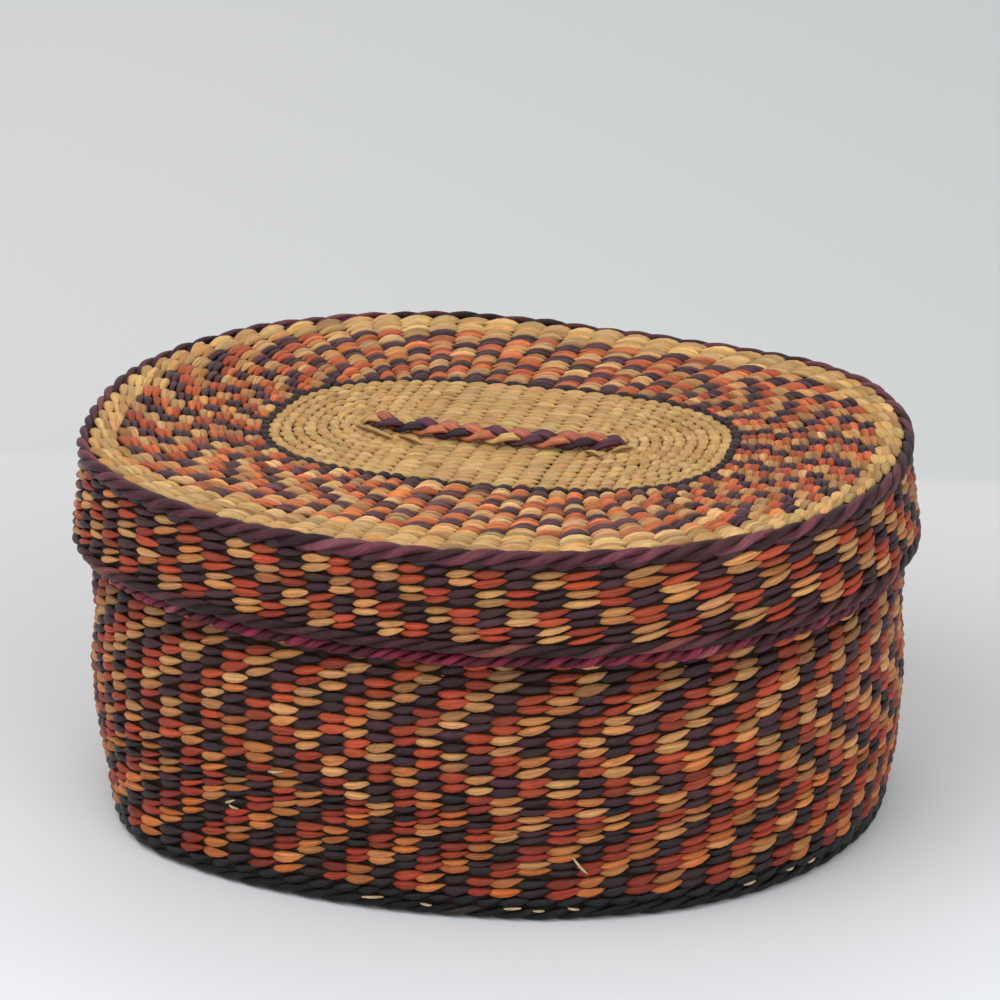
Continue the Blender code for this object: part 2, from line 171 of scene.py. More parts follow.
studio = dict(
    lamps=(  # name, place and width in metres, power
        ("keyLamp", (-0.8, -1.1, 1.9), 1.8, 20.0),
        ("fillLamp", (1.4, -1.4, 1.1), 1.6, 12.0),
        ("backLamp", (-0.4, 1.5, 1.9), 1.4, 6.0),
    ),
    lampAim=(0, 0, 0.07),
    sky=(0.985, 0.99, 1.0, 1.0),
    skyStrength=0.66,
    floorReach=4.0,
    # painted light and shade: the floor is brighter at the front and darker towards the back, and the
    # backdrop darker towards the right
    floorNear=(241, 244, 249),
    floorFar=(220, 220, 220),
    floorDepth=(-270.0, 120.0),  # behind the basket, where the floor's tone starts and ends its change
    wallLeft=(215, 217, 216),
    wallRight=(208, 211, 210),
    wallStart=314.0,  # how far behind the basket the floor gives way to the backdrop
    wallSlope=0.086,
    wallSharpness=70.0,
    wallSpread=(-260.0, 260.0),
    roughness=0.75,
    specular=0.15,
)


def makeLight(sizes):
    for name, place, size, power in sizes["lamps"]:
        lamp = bpy.data.lights.new(name, "AREA")
        lamp.energy, lamp.size = power, size
        holder = bpy.data.objects.new(name, lamp)
        holder.location = place
        aim = Vector(sizes["lampAim"]) - Vector(place)
        holder.rotation_euler = aim.to_track_quat("-Z", "Y").to_euler()
        scene.collection.objects.link(holder)
    world = bpy.data.worlds.new("sky")
    scene.world = world
    world.use_nodes = True
    world.node_tree.nodes.clear()
    net = Net(world.node_tree)
    rays = net.add("ShaderNodeLightPath").socket.node.outputs
    camera, glossy, glass = (
        Term(net, rays[name]) for name in ("Is Camera Ray", "Is Glossy Ray", "Is Transmission Ray")
    )
    seen = (camera + glossy + glass).held()
    light = {"Color": sizes["sky"], "Strength": sizes["skyStrength"]}
    light = net.add("ShaderNodeBackground", {}, light)
    wall = net.add("ShaderNodeBackground", {}, {"Color": paint(sizes["wallLeft"]), "Strength": 1.0})
    both = net.add("ShaderNodeMixShader", {}, {"Fac": seen, "Shader": light, "Shader_001": wall})
    net.fill(net.tree.nodes.new("ShaderNodeOutputWorld"), {"Surface": both})


def makeFloor(sizes):
    mesh = bpy.data.meshes.new("floor")
    far = sizes["floorReach"]
    corners = [(-far, -far, 0), (far, -far, 0), (far, far, 0), (-far, far, 0)]
    mesh.from_pydata(corners, [], [(0, 1, 2, 3)])
    floor = bpy.data.objects.new("floor", mesh)
    scene.collection.objects.link(floor)
    material, net, shader = newMaterial("paleFloor")
    azimuth = radians(view["azimuth"])
    east, north, _ = net.split(net.add("ShaderNodeTexCoord", out="Object"))
    behind = north * cos(azimuth) - east * sin(azimuth)
    aside = east * cos(azimuth) + north * sin(azimuth)

    def between(value, low, high):
        return ((value - low * mm) * (1 / mm / (high - low))).held()

    depth, spread = between(behind, *sizes["floorDepth"]), between(aside, *sizes["wallSpread"])
    # painted light and shade: the floor's tone by depth and the backdrop's by side
    floorTone = net.mixed(depth, paint(sizes["floorNear"]), paint(sizes["floorFar"]))
    wallTone = net.mixed(spread, paint(sizes["wallLeft"]), paint(sizes["wallRight"]))
    past = behind + aside * sizes["wallSlope"] - sizes["wallStart"] * mm
    tone = net.mixed((past * sizes["wallSharpness"]).held(), floorTone, wallTone)
    finish = {"Roughness": sizes["roughness"], "Specular IOR Level": sizes["specular"]}
    net.fill(shader, {"Base Color": tone, **finish})
    mesh.materials.append(material)


scene.view_settings.view_transform = "Standard"
makeCamera(view)
makeLight(studio)
makeFloor(studio)
print("camera, lamps and floor are in place")

fibreLook = dict(
    grain=(1.1, 2.5, 0.35),  # of the streaks: outward, across and along a stitch
    grainShift=(31, 57, 83),  # from one stitch to another
    grainNoise=(1.0, 3.0, 0.62),
    patch=(0.7, 0.9, 1.3),  # of the blotches
    patchShift=(19, 0, 7),
    patchNoise=(1.3,),
    streak=1.9,
    blotch=0.6,
    paintedTipShade=0.4,  # painted shade: how much darker the tips and the sides are, where they meet the next stitches
    sides=0.5,
    stain=(1.0, 0.62, 0.32, 1.0),
    heart=1.15,  # how far to the sides the stain goes
    roughness=0.44,
    polish=0.35,  # how much the gloss changes from streak to streak
    bump=1.0,
    bumpDepth=0.7 * mm,
    specular=0.32,
)
# in these looks too the tips and sides set painted shade; on the braids it darkens the grooves between the
# strands
braidLook = dict(
    fibreLook, grain=(1.1, 2.4, 0.35), blotch=0.9, paintedTipShade=0.0, sides=0.72, roughness=0.48, specular=0.22
)
panelLook = dict(fibreLook, streak=1.4, paintedTipShade=0.2, sides=0.16)
# painted shade: the stakes are coloured dark so that the gaps between the stitches read as shadow
stakeLook = dict(
    dark=(20, 14, 11),
    light=(52, 34, 22),
    grain=(900, 900, 90),
    noise=(1.0, 3.0, 0.6),
    bump=0.5,
    bumpDepth=0.3 * mm,
    roughness=0.8,
    specular=0.2,
)


def fibreMaterial(name, look):
    material, net, shader = newMaterial(name)

    def read(attribute, out):
        return net.add("ShaderNodeAttribute", {"attribute_name": attribute}, out=out)

    def noise(kind):  # no two stitches have the same part of it
        steps = zip(axes, look[kind], look[kind + "Shift"])
        place = [axis * scale + tint * shift for axis, scale, shift in steps]
        return net.noise(net.join(*place), *look[kind + "Noise"])

    axes, tint = net.split(read("lay", "Vector")), read("tint", "Fac")
    _, across, along = axes
    streak, blotch = noise("grain"), noise("patch")
    heart = (1.0 - along * along).held() * (look["heart"] - across.sized()).held()
    stained = net.mixed(read("stain", "Fac") * heart, read("hue", "Color"), look["stain"], "MULTIPLY")
    shade = 1.0 + (streak - 0.5) * look["streak"] + (blotch - 0.5) * look["blotch"]
    # painted shade: the tips and the sides of each stitch or strand are darkened where it meets its
    # neighbours
    paintedTipShade = 1.0 - (along * along).held() ** 4.0 * look["paintedTipShade"]
    sides = 1.0 - (across * across).held() ** 2.0 * look["sides"]
    gloss = look["roughness"] + (0.5 - streak) * look["polish"]
    coat(net, shader, look, net.scaled(stained, shade * paintedTipShade * sides), gloss, streak)
    return material


def stakeMaterial(name, look):
    material, net, shader = newMaterial(name)
    axes = net.split(net.add("ShaderNodeTexCoord", out="Object"))
    grain = net.join(*(axis * scale for axis, scale in zip(axes, look["grain"])))
    grain = net.noise(grain, *look["noise"])
    colour = net.mixed(grain, paint(look["dark"]), paint(look["light"]))
    coat(net, shader, look, colour, look["roughness"], grain)
    return material


weftFibre = fibreMaterial("weftFibre", fibreLook)
braidFibre = fibreMaterial("braidFibre", braidLook)
panelFibre = fibreMaterial("panelFibre", panelLook)
stakeFibre = stakeMaterial("stakeFibre", stakeLook)

dyes = {  # as seen, 0 to 255: the look low on the wall, and high on it
    "natural": ((184, 108, 52), (188, 136, 84)),
    "red": ((140, 47, 27), (164, 66, 36)),
    "dark": ((33, 23, 22), (62, 32, 38)),
    "undyed": ((186, 144, 84), (206, 166, 106)),
    "plum": ((64, 38, 46), (102, 62, 62)),  # the lid's top is paler than the walls
    "salmon": ((172, 76, 40), (214, 122, 66)),
    "straw": ((184, 134, 82), (216, 170, 114)),
}
dyeing = dict(
    paleKinds=("natural", "undyed", "straw"),
    fade=0.28,  # how far a stitch may be from its row's place between the two looks
    brightLimit=0.34,
    wander=(0.035, 0.09),  # of the hue, in pale and in strong dyes
    blueWander=1.3,
    stain=(1.5, -0.35, -0.5),  # by chance, always, and by how high the look is
    stainMost=0.9,
    strongStain=0.1,
)


def dyed(kinds, highShare, spread=0.2):  # a colour and an orange stain for each stitch
    count, limit = len(kinds), dyeing["brightLimit"]
    share = np.clip(highShare + chance.normal(0, dyeing["fade"], count), 0, 1)[:, None]
    low, high = (linear([dyes[kind][end] for kind in kinds]) for end in (0, 1))
    bright = 1 + chance.normal(0, spread, count).clip(-limit, limit)[:, None]
    pale = np.array([kind in dyeing["paleKinds"] for kind in kinds])
    wander = np.where(pale, *dyeing["wander"])
    green, blue = (1 + chance.normal(0, size, count) * wander for size in (1, dyeing["blueWander"]))
    hue = (low + (high - low) * share) * bright * np.stack([np.ones(count), green, blue], 1)
    byChance, always, byShare = dyeing["stain"]
    stain = (chance.random(count) * byChance + always + byShare * share[:, 0]).clip(0, dyeing["stainMost"])
    return hue.clip(0, 1), np.where(pale, stain, dyeing["strongStain"])


outline = dict(halfLength=147.2, halfWidth=129.4, squareness=2.13)
ovalSteps = 7201
nearby = 1e-4  # radians, to find the way along the oval


def ovalAt(angle, halfLength, halfWidth, squareness):
    c, s = np.cos(angle), np.sin(angle)
    x = halfLength * np.sign(c) * np.abs(c) ** (2 / squareness)
    return x, halfWidth * np.sign(s) * np.abs(s) ** (2 / squareness)


def bodyOval(angle):
    return ovalAt(angle, *outline.values())


def total(steps):  # running totals, from 0
    return np.concatenate([[0], np.cumsum(steps)])


def lengthAlong(x, y):
    return total(np.hypot(np.diff(x), np.diff(y)))


angles = np.linspace(-pi, pi, ovalSteps)
runs = lengthAlong(*bodyOval(angles))
girth = runs[-1]  # once round the body
frontRun = np.interp(-pi / 2, angles, runs)


def angleAt(run):  # run is measured round the body from the middle of its front, to the right
    return np.interp((frontRun + run) % girth, runs, angles)


def runOf(angle):
    return np.interp((angle + pi) % (2 * pi) - pi, angles, runs) - frontRun


def unit(vectors):
    return vectors / np.linalg.norm(vectors, axis=1)[:, None]


def points(x, y, z=0.0):
    return np.stack([x, y, z + 0 * x], 1)


def ramp(z, start, rise):  # from 0 at the start to 1 past the rise
    return np.clip((z - start) / rise, 0, 1)


def swell(z, middle, spread):  # a smooth rise to 1 and back
    return np.exp(-(((z - middle) / spread) ** 2))


def humps(run, *rows):  # round the girth: each row gives a size, a middle and a spread
    ways = (((run - middle + girth / 2) % girth - girth / 2, size, spread) for size, middle, spread in rows)
    return sum(size * swell(way, 0, spread) for way, size, spread in ways)


def ends(run):  # the two ends of the basket, as the photograph shows them
    return humps(run, (1, -187, 60), (1, 258, 60))


unevenness = (  # how far the wall leaves the oval: humps round the girth, and how they fade by height
    (((2.4, -145, 40), (-2.2, -195, 32)), lambda z: ramp(z, 40, 25)),  # the left corner
    (((5.4, -106, 36), (2.2, -70, 60), (-1.9, 252, 55)), lambda z: (np.clip(52 - z, 0, 52) / 52) ** 2),
    (((2.6, -118, 38),), lambda z: swell(z, 38, 24)),  # the belly at its left
    (((-4.0, -190, 40), (-1.6, 258, 60)), lambda z: swell(z, 70, 11)),  # the waist under the ledge
    (((-5.4, -177, 30),), lambda z: swell(z, 4, 17)),  # the left heel
    (((-1.2, 250, 60),), lambda z: ramp(z, 90, 20)),  # the flatter right end
)


def uneven(run, z):
    return sum(humps(run, *rows) * share(z) for rows, share in unevenness)


def lidSag(run):  # how far the edge of the lid has sunk at the back
    return humps(run, (3.9, 392, 55), (1.2, 455, 38), (1.6, 430, 110), (0.8, 440, 150))


def around(run, offset):  # points beside the oval, the way along it and the way out
    angle = angleAt(run)
    x, y = bodyOval(angle)
    ahead, behind = bodyOval(angle + nearby), bodyOval(angle - nearby)
    level = unit(points(ahead[0] - behind[0], ahead[1] - behind[1]))
    outward = points(level[:, 1], -level[:, 0])
    return points(x, y) + outward * np.reshape(offset, (-1, 1)), level, outward


def spaced(sizes):  # where each column stands, from the few that are given, and its number
    places = sizes["places"]
    knots = sorted(places)
    index = np.arange(knots[0], sizes["columns"] + knots[0])
    at = [places[knot] for knot in knots] + [places[knots[0]] + girth]
    return np.interp(index, knots + [sizes["columns"] + knots[0]], at), index


class Guide:  # points that a node tree works from, with what is to be made at each
    kinds = dict(along=vector, outward=vector, reach=number, tall=number, hue=vector, stain=number)

    def __init__(self):
        self.sets, self.edges, self.count = [], [], 0

    def add(self, place, *values):
        count = len(place)
        shapes = [(count, 3) if kind == vector else count for kind in self.kinds.values()]
        self.sets.append([place, *map(np.broadcast_to, values, shapes)])
        self.count += count

    def piece(self, name):
        place, *rest = (np.concatenate(values).astype(np.float32) for values in zip(*self.sets))
        mesh = bpy.data.meshes.new(name)
        mesh.from_pydata((place * mm).tolist(), self.edges, [])
        for (key, kind), values in zip(self.kinds.items(), rest):
            data = mesh.attributes.new(key, kind, "POINT").data
            data.foreach_set("vector" if kind == vector else "value", values.ravel())
        return bpy.data.objects.new(name, mesh)


class Lines(Guide):  # guide lines for strands
    kinds = dict(facing=vector, hue=vector, girth=number, stain=number, run=number, tint=number)
    runUnit = 5.0  # the length that the grain takes for one

    def line(self, place, facing, hue, girths, closed=False):
        run = total(np.linalg.norm(np.diff(place, axis=0), axis=1)) / self.runUnit
        if closed:
            run = np.minimum(run, run[-1] - run)  # there and back, so that its ends meet
        last = self.count + len(place) - 1
        self.edges += [(i, i + 1) for i in range(self.count, last)] + ([(last, self.count)] if closed else [])
        self.add(place, facing, hue, girths, 0.0, run, chance.random())


def newTree(name, inputs):
    tree = bpy.data.node_groups.new(name, "GeometryNodeTree")
    for way in ("INPUT", "OUTPUT"):
        tree.interface.new_socket("Geometry", in_out=way, socket_type="NodeSocketGeometry")
    for label, kind in inputs.items():
        tree.interface.new_socket(label, in_out="INPUT", socket_type="NodeSocket" + kind)
    net = Net(tree)
    entry = tree.nodes.new("NodeGroupInput")
    return net, {socket.name: Term(net, socket) for socket in entry.outputs if socket.name}


def close(net, geometry, material):
    geometry = net.add("GeometryNodeRealizeInstances", {}, {"Geometry": geometry})
    geometry = net.add("GeometryNodeSetShadeSmooth", {}, {"Geometry": geometry})
    geometry = net.add("GeometryNodeSetMaterial", {}, {"Geometry": geometry, "Material": material})
    net.fill(net.tree.nodes.new("NodeGroupOutput"), {"Geometry": geometry})
    return net.tree


def keep(net, geometry, name, value, kind=vector, domain="POINT"):
    values = {"Geometry": geometry, "Name": name, "Value": value}
    return net.add("GeometryNodeStoreNamedAttribute", {"data_type": kind, "domain": domain}, values)


def own(net, name, kind=vector):
    return net.add("GeometryNodeInputNamedAttribute", {"data_type": kind}, {"Name": name})


def placed(net, geometry, values):
    return net.add("GeometryNodeSetPosition", {}, {"Geometry": geometry, **values})


leafChance = dict(thick=(0.85, 1.15), tall=(0.84, 1.16), long=(0.9, 1.12))
tipReach = 1.0001  # a little past the leaf's tips, which stay open for the power


def stitchTree():  # a pointed, bowed leaf of fibre at every guide point
    shape = dict.fromkeys(("Thickness", "Bow", "Point", "Blunt", "Jitter", "Sway"), "Float")
    inputs = {"Sides": "Int", "Rings": "Int", **shape, "Seed": "Int", "Material": "Material"}
    net, given = newTree("stitches", inputs)
    thickness, bow, point, blunt, jitter, sway = (given[name] for name in shape)
    seed = given["Seed"]
    values = {"Segments": given["Sides"], "Rings": given["Rings"], "Radius": 1.0}
    leaf = net.add("GeometryNodeMeshUVSphere", {}, values)
    spot = net.add("GeometryNodeInputPosition")
    leaf = keep(net, leaf, "lay", spot)
    x, y, z = net.split(spot)
    waist = (tipReach - z) ** (point + blunt) * (z + tipReach) ** (point - blunt)
    shaped = net.join(x * waist * thickness * 0.5 - z * z * bow, y * waist * 0.5, z * 0.5)
    leaf = placed(net, leaf, {"Position": shaped})

    loose = net.join(jitter, jitter, jitter)
    values = {"Min": net.scaled(loose, -1.0), "Max": loose, "Seed": seed}
    shake = net.add("FunctionNodeRandomValue", {"data_type": vector}, values, "Value")
    spots = placed(net, given["Geometry"], {"Offset": shake})

    def draw(low, high, step):
        values = {"Min_001": low, "Max_001": high, "Seed": seed + step}
        return net.add("FunctionNodeRandomValue", {"data_type": number}, values, "Value_001")

    values = {"Primary Axis": own(net, "along"), "Secondary Axis": own(net, "outward")}
    settings = {"primary_axis": "Z", "secondary_axis": "X"}
    facing = net.add("FunctionNodeAxesToRotation", settings, values)
    values = {"Axis": (1.0, 0.0, 0.0), "Angle": draw(sway * -1.0, sway, 1.0)}
    tilt = net.add("FunctionNodeAxisAngleToRotation", {}, values)
    values = {"Rotation": facing, "Rotate By": tilt}
    facing = net.add("FunctionNodeRotateRotation", {"rotation_space": "LOCAL"}, values)
    thick = draw(*leafChance["thick"], 2.0)
    tall = own(net, "tall", number) * draw(*leafChance["tall"], 3.0)
    size = net.join(thick, tall, own(net, "reach", number) * draw(*leafChance["long"], 4.0))
    values = {"Points": spots, "Instance": leaf, "Rotation": facing, "Scale": size}
    leaves = net.add("GeometryNodeInstanceOnPoints", {}, values)
    leaves = keep(net, leaves, "tint", draw(0.0, 1.0, 5.0), number, "INSTANCE")
    return close(net, leaves, given["Material"])


def strandTree():  # a strand of fibre swept along every guide line
    inputs = {"Sides": "Int", "Width": "Float", "Thickness": "Float", "Material": "Material"}
    net, given = newTree("strands", inputs)
    line = net.add("GeometryNodeMeshToCurve", {}, {"Mesh": given["Geometry"]})
    values = {"Curve": line, "Normal": own(net, "facing")}
    line = net.add("GeometryNodeSetCurveNormal", {"mode": "FREE"}, values)
    values = {"Resolution": given["Sides"], "Radius": 1.0}
    ring = net.add("GeometryNodeCurvePrimitiveCircle", {}, values)
    spot = net.add("GeometryNodeInputPosition")
    ring = keep(net, ring, "ring", spot)
    x, y, _ = net.split(spot)
    shaped = net.join(x * given["Thickness"] * 0.5, y * given["Width"] * 0.5, 0.0)
    ring = placed(net, ring, {"Position": shaped})
    values = {"Curve": line, "Profile Curve": ring, "Scale": own(net, "girth", number), "Fill Caps": True}
    tube = net.add("GeometryNodeCurveToMesh", {}, values)
    x, y, _ = net.split(own(net, "ring"))
    tube = keep(net, tube, "lay", net.join(x, y, own(net, "run", number)))
    return close(net, tube, given["Material"])


def grow(piece, tree, sizes):  # runs the tree on a guide and keeps the mesh that comes out
    modifier = piece.modifiers.new("made", "NODES")
    modifier.node_group = tree
    for item in tree.interface.items_tree:
        if item.name in sizes:
            modifier[item.identifier] = sizes[item.name]
    scene.collection.objects.link(piece)
    graph = bpy.context.evaluated_depsgraph_get()
    grown = piece.evaluated_get(graph)
    mesh = bpy.data.meshes.new_from_object(grown, preserve_all_data_layers=True, depsgraph=graph)
    guide = piece.data
    piece.modifiers.clear()
    piece.data = mesh
    bpy.data.meshes.remove(guide)
    for key in ("along", "outward", "reach", "tall", "facing", "girth", "ring", "run"):
        if key in mesh.attributes:
            mesh.attributes.remove(mesh.attributes[key])
    mesh.name = piece.name
    return piece


def dress(piece, body, slotName, *nodes):
    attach(piece, body)
    if nodes:
        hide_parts(*nodes)


stitches = stitchTree()
strands = strandTree()
outerLeaf = dict(
    Sides=8, Rings=7, Thickness=3.0 * mm, Bow=1.2 * mm, Point=0.46, Blunt=0.14, Jitter=0.3 * mm, Sway=0.11,
    Material=weftFibre,
)
innerLeaf = dict(outerLeaf, Sides=6, Rings=4, Thickness=1.7 * mm, Bow=0.5 * mm, Point=0.2, Blunt=0.0)


def weave(guide, name, leaf, seed, body, slotName, *nodes):
    dress(grow(guide.piece(name), stitches, dict(leaf, Seed=seed)), body, slotName, *nodes)


def lay(lines, name, sizes, body, slotName, *nodes):
    given = {"Sides": sizes["sides"], "Width": sizes["width"] * mm, "Thickness": sizes["thickness"] * mm}
    given["Material"] = braidFibre
    dress(grow(lines.piece(name), strands, given), body, slotName, *nodes)


bodyForm = dict(
    belly=52,  # the height of the widest place
    ledge=92.8,
    neck=93.5,
    step=(98.3, 4),  # the neck's upper part stands further in
    foot=3.2,  # how far the foot, the ledge (gently and sharply) and the neck are drawn in
    shoulder=(1.0, 2.2),
    neckIn=2.2,
)
lidForm = dict(top=130.75, height=27.1, topOut=1.3, flare=3.1)
rowForm = dict(  # how the rows leave the level: humps round the girth, and what they fade by
    climb=((3.7, -35, 60), (-1.2, 140, 45)),
    climbFull=80,
    climbTop=(98, -8.6),
    droop=3.0,
    droopFrom=(62, 30),
    droopTo=(120, -20),
    footDroop=(3.2, -115, 55),
    footAt=(18, 26),
    footFrom=(0, 10),
    neckSag=0.45,
    neckFrom=(98, 28),
    lidFrom=(103, 28),
    lidDroop=3.4,
    lidDroopTo=(130, -27),
    lean=(2.0, 3.0),  # of the lid's columns: everywhere, and more at a place
    leanPlace=(-75, 55),
    leanFrom=(127.8, 22),
)


def bodyCrest(z):  # how far the body's outer face stands out from the oval, at a height
    belly, (gently, sharply) = bodyForm["belly"], bodyForm["shoulder"]
    high = (z - belly) / (bodyForm["ledge"] - belly)
    upper = -gently * high ** 2 - sharply * high ** 6
    lower = -bodyForm["foot"] * ((belly - z) / belly) ** 2
    neck = -bodyForm["neckIn"] - bodyForm["neckIn"] * ramp(z, *bodyForm["step"])
    return np.where(z > bodyForm["neck"], neck, np.where(z > belly, upper, lower))


def lidCrest(z):
    return lidForm["topOut"] + lidForm["flare"] * (lidForm["top"] - z) / lidForm["height"]


def bodyRise(run, z):  # the rows climb to the left of the front and sink a little at its right
    form = rowForm
    climb = z / form["climbFull"] * humps(run, *form["climb"]) * ramp(z, *form["climbTop"])
    droop = form["droop"] * ends(run) * ramp(z, *form["droopFrom"]) * ramp(z, *form["droopTo"])
    droop = droop + humps(run, form["footDroop"]) * swell(z, *form["footAt"]) * ramp(z, *form["footFrom"])
    return z + climb - form["neckSag"] * lidSag(run) * ramp(z, *form["neckFrom"]) - droop


def lidRise(run, z):  # the lid hangs lower at its ends
    droop = rowForm["lidDroop"] * ends(run) * ramp(z, *rowForm["lidDroopTo"])
    return z - lidSag(run) * ramp(z, *rowForm["lidFrom"]) - droop


def lidLean(run, z):  # the columns lean to the right on their way down
    run = (run + girth / 2) % girth - girth / 2
    (least, more), (top, height) = rowForm["lean"], rowForm["leanFrom"]
    return run + (least + more * swell(run, *rowForm["leanPlace"])) * (top - z) / height


# a painted shadow under the ledge: how dark, the height where it starts, and the ledge's row
shadow = dict(depth=0.38, start=77.0, ledge=89.4)
black = dict(colour=(19, 17, 18), spread=0.2, limit=0.5)


def paintedLedgeShade(z):  # painted shade: the courses right under the ledge are darker, where the lid's overhang casts its shadow
    start, ledge = shadow["start"], shadow["ledge"]
    return 1 - shadow["depth"] * (z - start) / (ledge - start) if start < z < ledge + 1 else 1


def blackened(count):
    shade = 1 + chance.normal(0, black["spread"], (count, 1)).clip(-black["limit"], black["limit"])
    return linear(black["colour"]) * shade, 0.0


basketWall = dict(
    body="basket",
    names=("wall_stitches", "wall_courses"),
    columns=93,
    places={
        -11: -114.2, -8: -82.5, -5: -52.5, -4: -42.0, -3: -33.0, -2: -23.3, -1: -15.0, 0: -6.7, 1: 2.5,
        2: 10.0, 3: 19.2, 4: 27.9, 5: 36.7, 6: 46.3, 7: 56.7, 8: 66.0, 9: 74.6, 10: 84.2, 11: 94.0,
        12: 103.3, 13: 113.3, 14: 122.0, 16: 140.8, 19: 165.8,
    },
    rows=(
        89.4, 85.4, 81.7, 78.2, 74.2, 70.9, 67.2, 63.2, 59.7, 56.0, 52.1, 48.4, 44.8, 41.3, 38.8, 36.0,
        33.8, 31.2, 27.3, 24.4, 21.3, 18.8, 14.6, 10.8,
    ),
    limits=(93.2, 7.0),
    shifts=(2, 1, 0, -1, 0, 1, 2, 3, 2, 1, 0, -1),  # columns that each pair of rows steps to the right
    order=("natural", "dark", "red"),
    highShare=lambda row: 1 - ((row + 1) / 24) ** 1.3,
    innerHighShare=(0.6, 0.3),
    neckRows=(123.0, 119.4, 115.8, 112.2, 108.6, 105.0, 101.2, 97.2, 93.2),
    neckShifts=(0, -1, 0, 1, 2, 3),
    neckTall=3.75,
    neckHighShare=0.85,
    crest=bodyCrest,
    rise=bodyRise,
    lean=lambda run, z: run,
    shade=paintedLedgeShade,
    reach=1.4,
    slant=10.0,
    depths=(1.15, 3.35),  # of the visible rows and of those behind them
    seed=10,
)
lidWall = dict(
    body="lid",
    names=("lid_stitches", "lid_wall_courses"),
    columns=84,
    places=dict(zip(
        range(-12, 19, 3), (-124.0, -91.2, -57.1, -28.0, -3.4, 22.0, 51.0, 82.8, 118.0, 154.0, 186.7)
    )),
    rows=(127.8, 124.4, 121.1, 118.1, 114.5, 111.7, 108.6, 106.0),
    limits=(131.0, 103.4),
    shifts=(0, 1, 2, 3),
    order=("natural", "red", "dark"),
    highShare=lambda row: 0.95,
    innerHighShare=(1, 0),
    crest=lidCrest,
    rise=lidRise,
    lean=lidLean,
    shade=lambda z: 1,
    reach=1.38,
    slant=9.0,
    depths=(1.15, 3.35),  # of the visible rows and of those behind them
    seed=110,
)
footCourse = dict(z=7.2, tall=3.6, shift=3.0, depths=(1.3,), slant=12.0)
darkCourse = dict(z=130.8, tall=3.5, shift=-4.0, depths=(1.0,), slant=9.0, highShare=0.75)


# stitches at a slant on a surface: ways along it, up it and out of it, then 1 for its face, -1 for its back
def stand(guide, place, level, up, outward, turn, facing, reach, tall, colours):
    turn = np.reshape(turn, (-1, 1))
    along = level * np.cos(turn) + up * np.sin(turn)
    guide.add(place, along, outward * facing, reach * mm, tall * mm, *colours)


def kindsOf(order, index, shift):
    return [order[(column - shift) % 3] for column in index]


def wallRow(guide, sizes, z, run, pitch, tall, colours, facing=1):
    crest, rise = sizes["crest"], sizes["rise"]
    heights, depth = rise(run, z), sizes["depths"][facing < 0]
    place, level, outward = around(run, crest(heights) - depth + uneven(run, heights))
    place[:, 2] = heights
    outward = unit(outward - np.outer(crest(heights + 0.5) - crest(heights - 0.5), upright))
    turn = np.arctan(rise(run + 1, z) - rise(run, z)) + radians(sizes["slant"]) * facing
    stand(guide, place, level, np.cross(outward, level), outward, turn, facing, pitch, tall, colours)


def weaveWall(sizes):  # the visible bands, and the rows that back them
    run, index = spaced(sizes)
    wide = np.concatenate([[run[-1] - girth], run, [run[0] + girth]])
    pitch = np.gradient(wide)[1:-1] * sizes["reach"]
    rows, inner = sizes["rows"], Guide()
    edges = (sizes["limits"][0],) + rows + (sizes["limits"][1],)

    def pair(outer, z, tall, shift, highShare):
        here = sizes["lean"](run, z)
        hue, stain = dyed(kindsOf(sizes["order"], index, shift), highShare)
        # painted shade: each row's colour is dimmed by the wall's shade, which on the body darkens the rows
        # under the ledge
        wallRow(outer, sizes, z, here, pitch, tall, (hue * sizes["shade"](z), stain))
        share, least = sizes["innerHighShare"]
        behind = dyed(kindsOf(sizes["order"], index, shift + 1), highShare * share + least)
        wallRow(inner, sizes, z, here, pitch, tall, behind, -1)

    for band in range(len(rows) // 4):
        outer = Guide()
        for row in range(4 * band, 4 * band + 4):
            tall = (edges[row] - edges[row + 2]) / 2
            pair(outer, rows[row], tall, sizes["shifts"][row // 2], sizes["highShare"](row))
        name, solid = (f"{start}_{band + 1}" for start in sizes["names"])
        weave(outer, name, outerLeaf, sizes["seed"] + band * 7, sizes["body"], "woven_courses", solid)
    return run, pitch, inner, pair


def plainCourse(sizes, course, run, pitch, inner, colours):  # one row of a single dye, and its back
    outer, z, tall = Guide(), course["z"], course["tall"]
    wallRow(outer, dict(sizes, **course), z, run + course["shift"], pitch, tall, colours)
    wallRow(inner, sizes, z, run, pitch, tall, colours, -1)
    return outer


def makeBody(sizes):
    run, pitch, inner, pair = weaveWall(sizes)
    outer = Guide()
    for row, z in enumerate(sizes["neckRows"]):
        pair(outer, z, sizes["neckTall"], sizes["neckShifts"][(row + 1) // 2], sizes["neckHighShare"])
    weave(outer, "neck_stitches", outerLeaf, 60, "basket", "woven_courses", "neck_courses")
    outer = plainCourse(sizes, footCourse, run, pitch, inner, blackened(len(run)))
    weave(outer, "foot_stitches", outerLeaf, 70, "basket", "black_fibre", "foot_course")
    weave(inner, "inside_stitches", innerLeaf, 80, "basket", "woven_courses")


def makeLidWall(sizes):
    run, pitch, inner, _ = weaveWall(sizes)
    outer = plainCourse(sizes, darkCourse, run, pitch, inner, dyed(["dark"] * len(run), darkCourse["highShare"]))
    weave(outer, "lid_dark_stitches", outerLeaf, 130, "lid", "plum_braid", "lid_dark_course")
    weave(inner, "lid_inside_stitches", innerLeaf, 140, "lid", "woven_courses")


makeBody(basketWall)
print("body walls are woven")
makeLidWall(lidWall)
print("lid walls are woven")

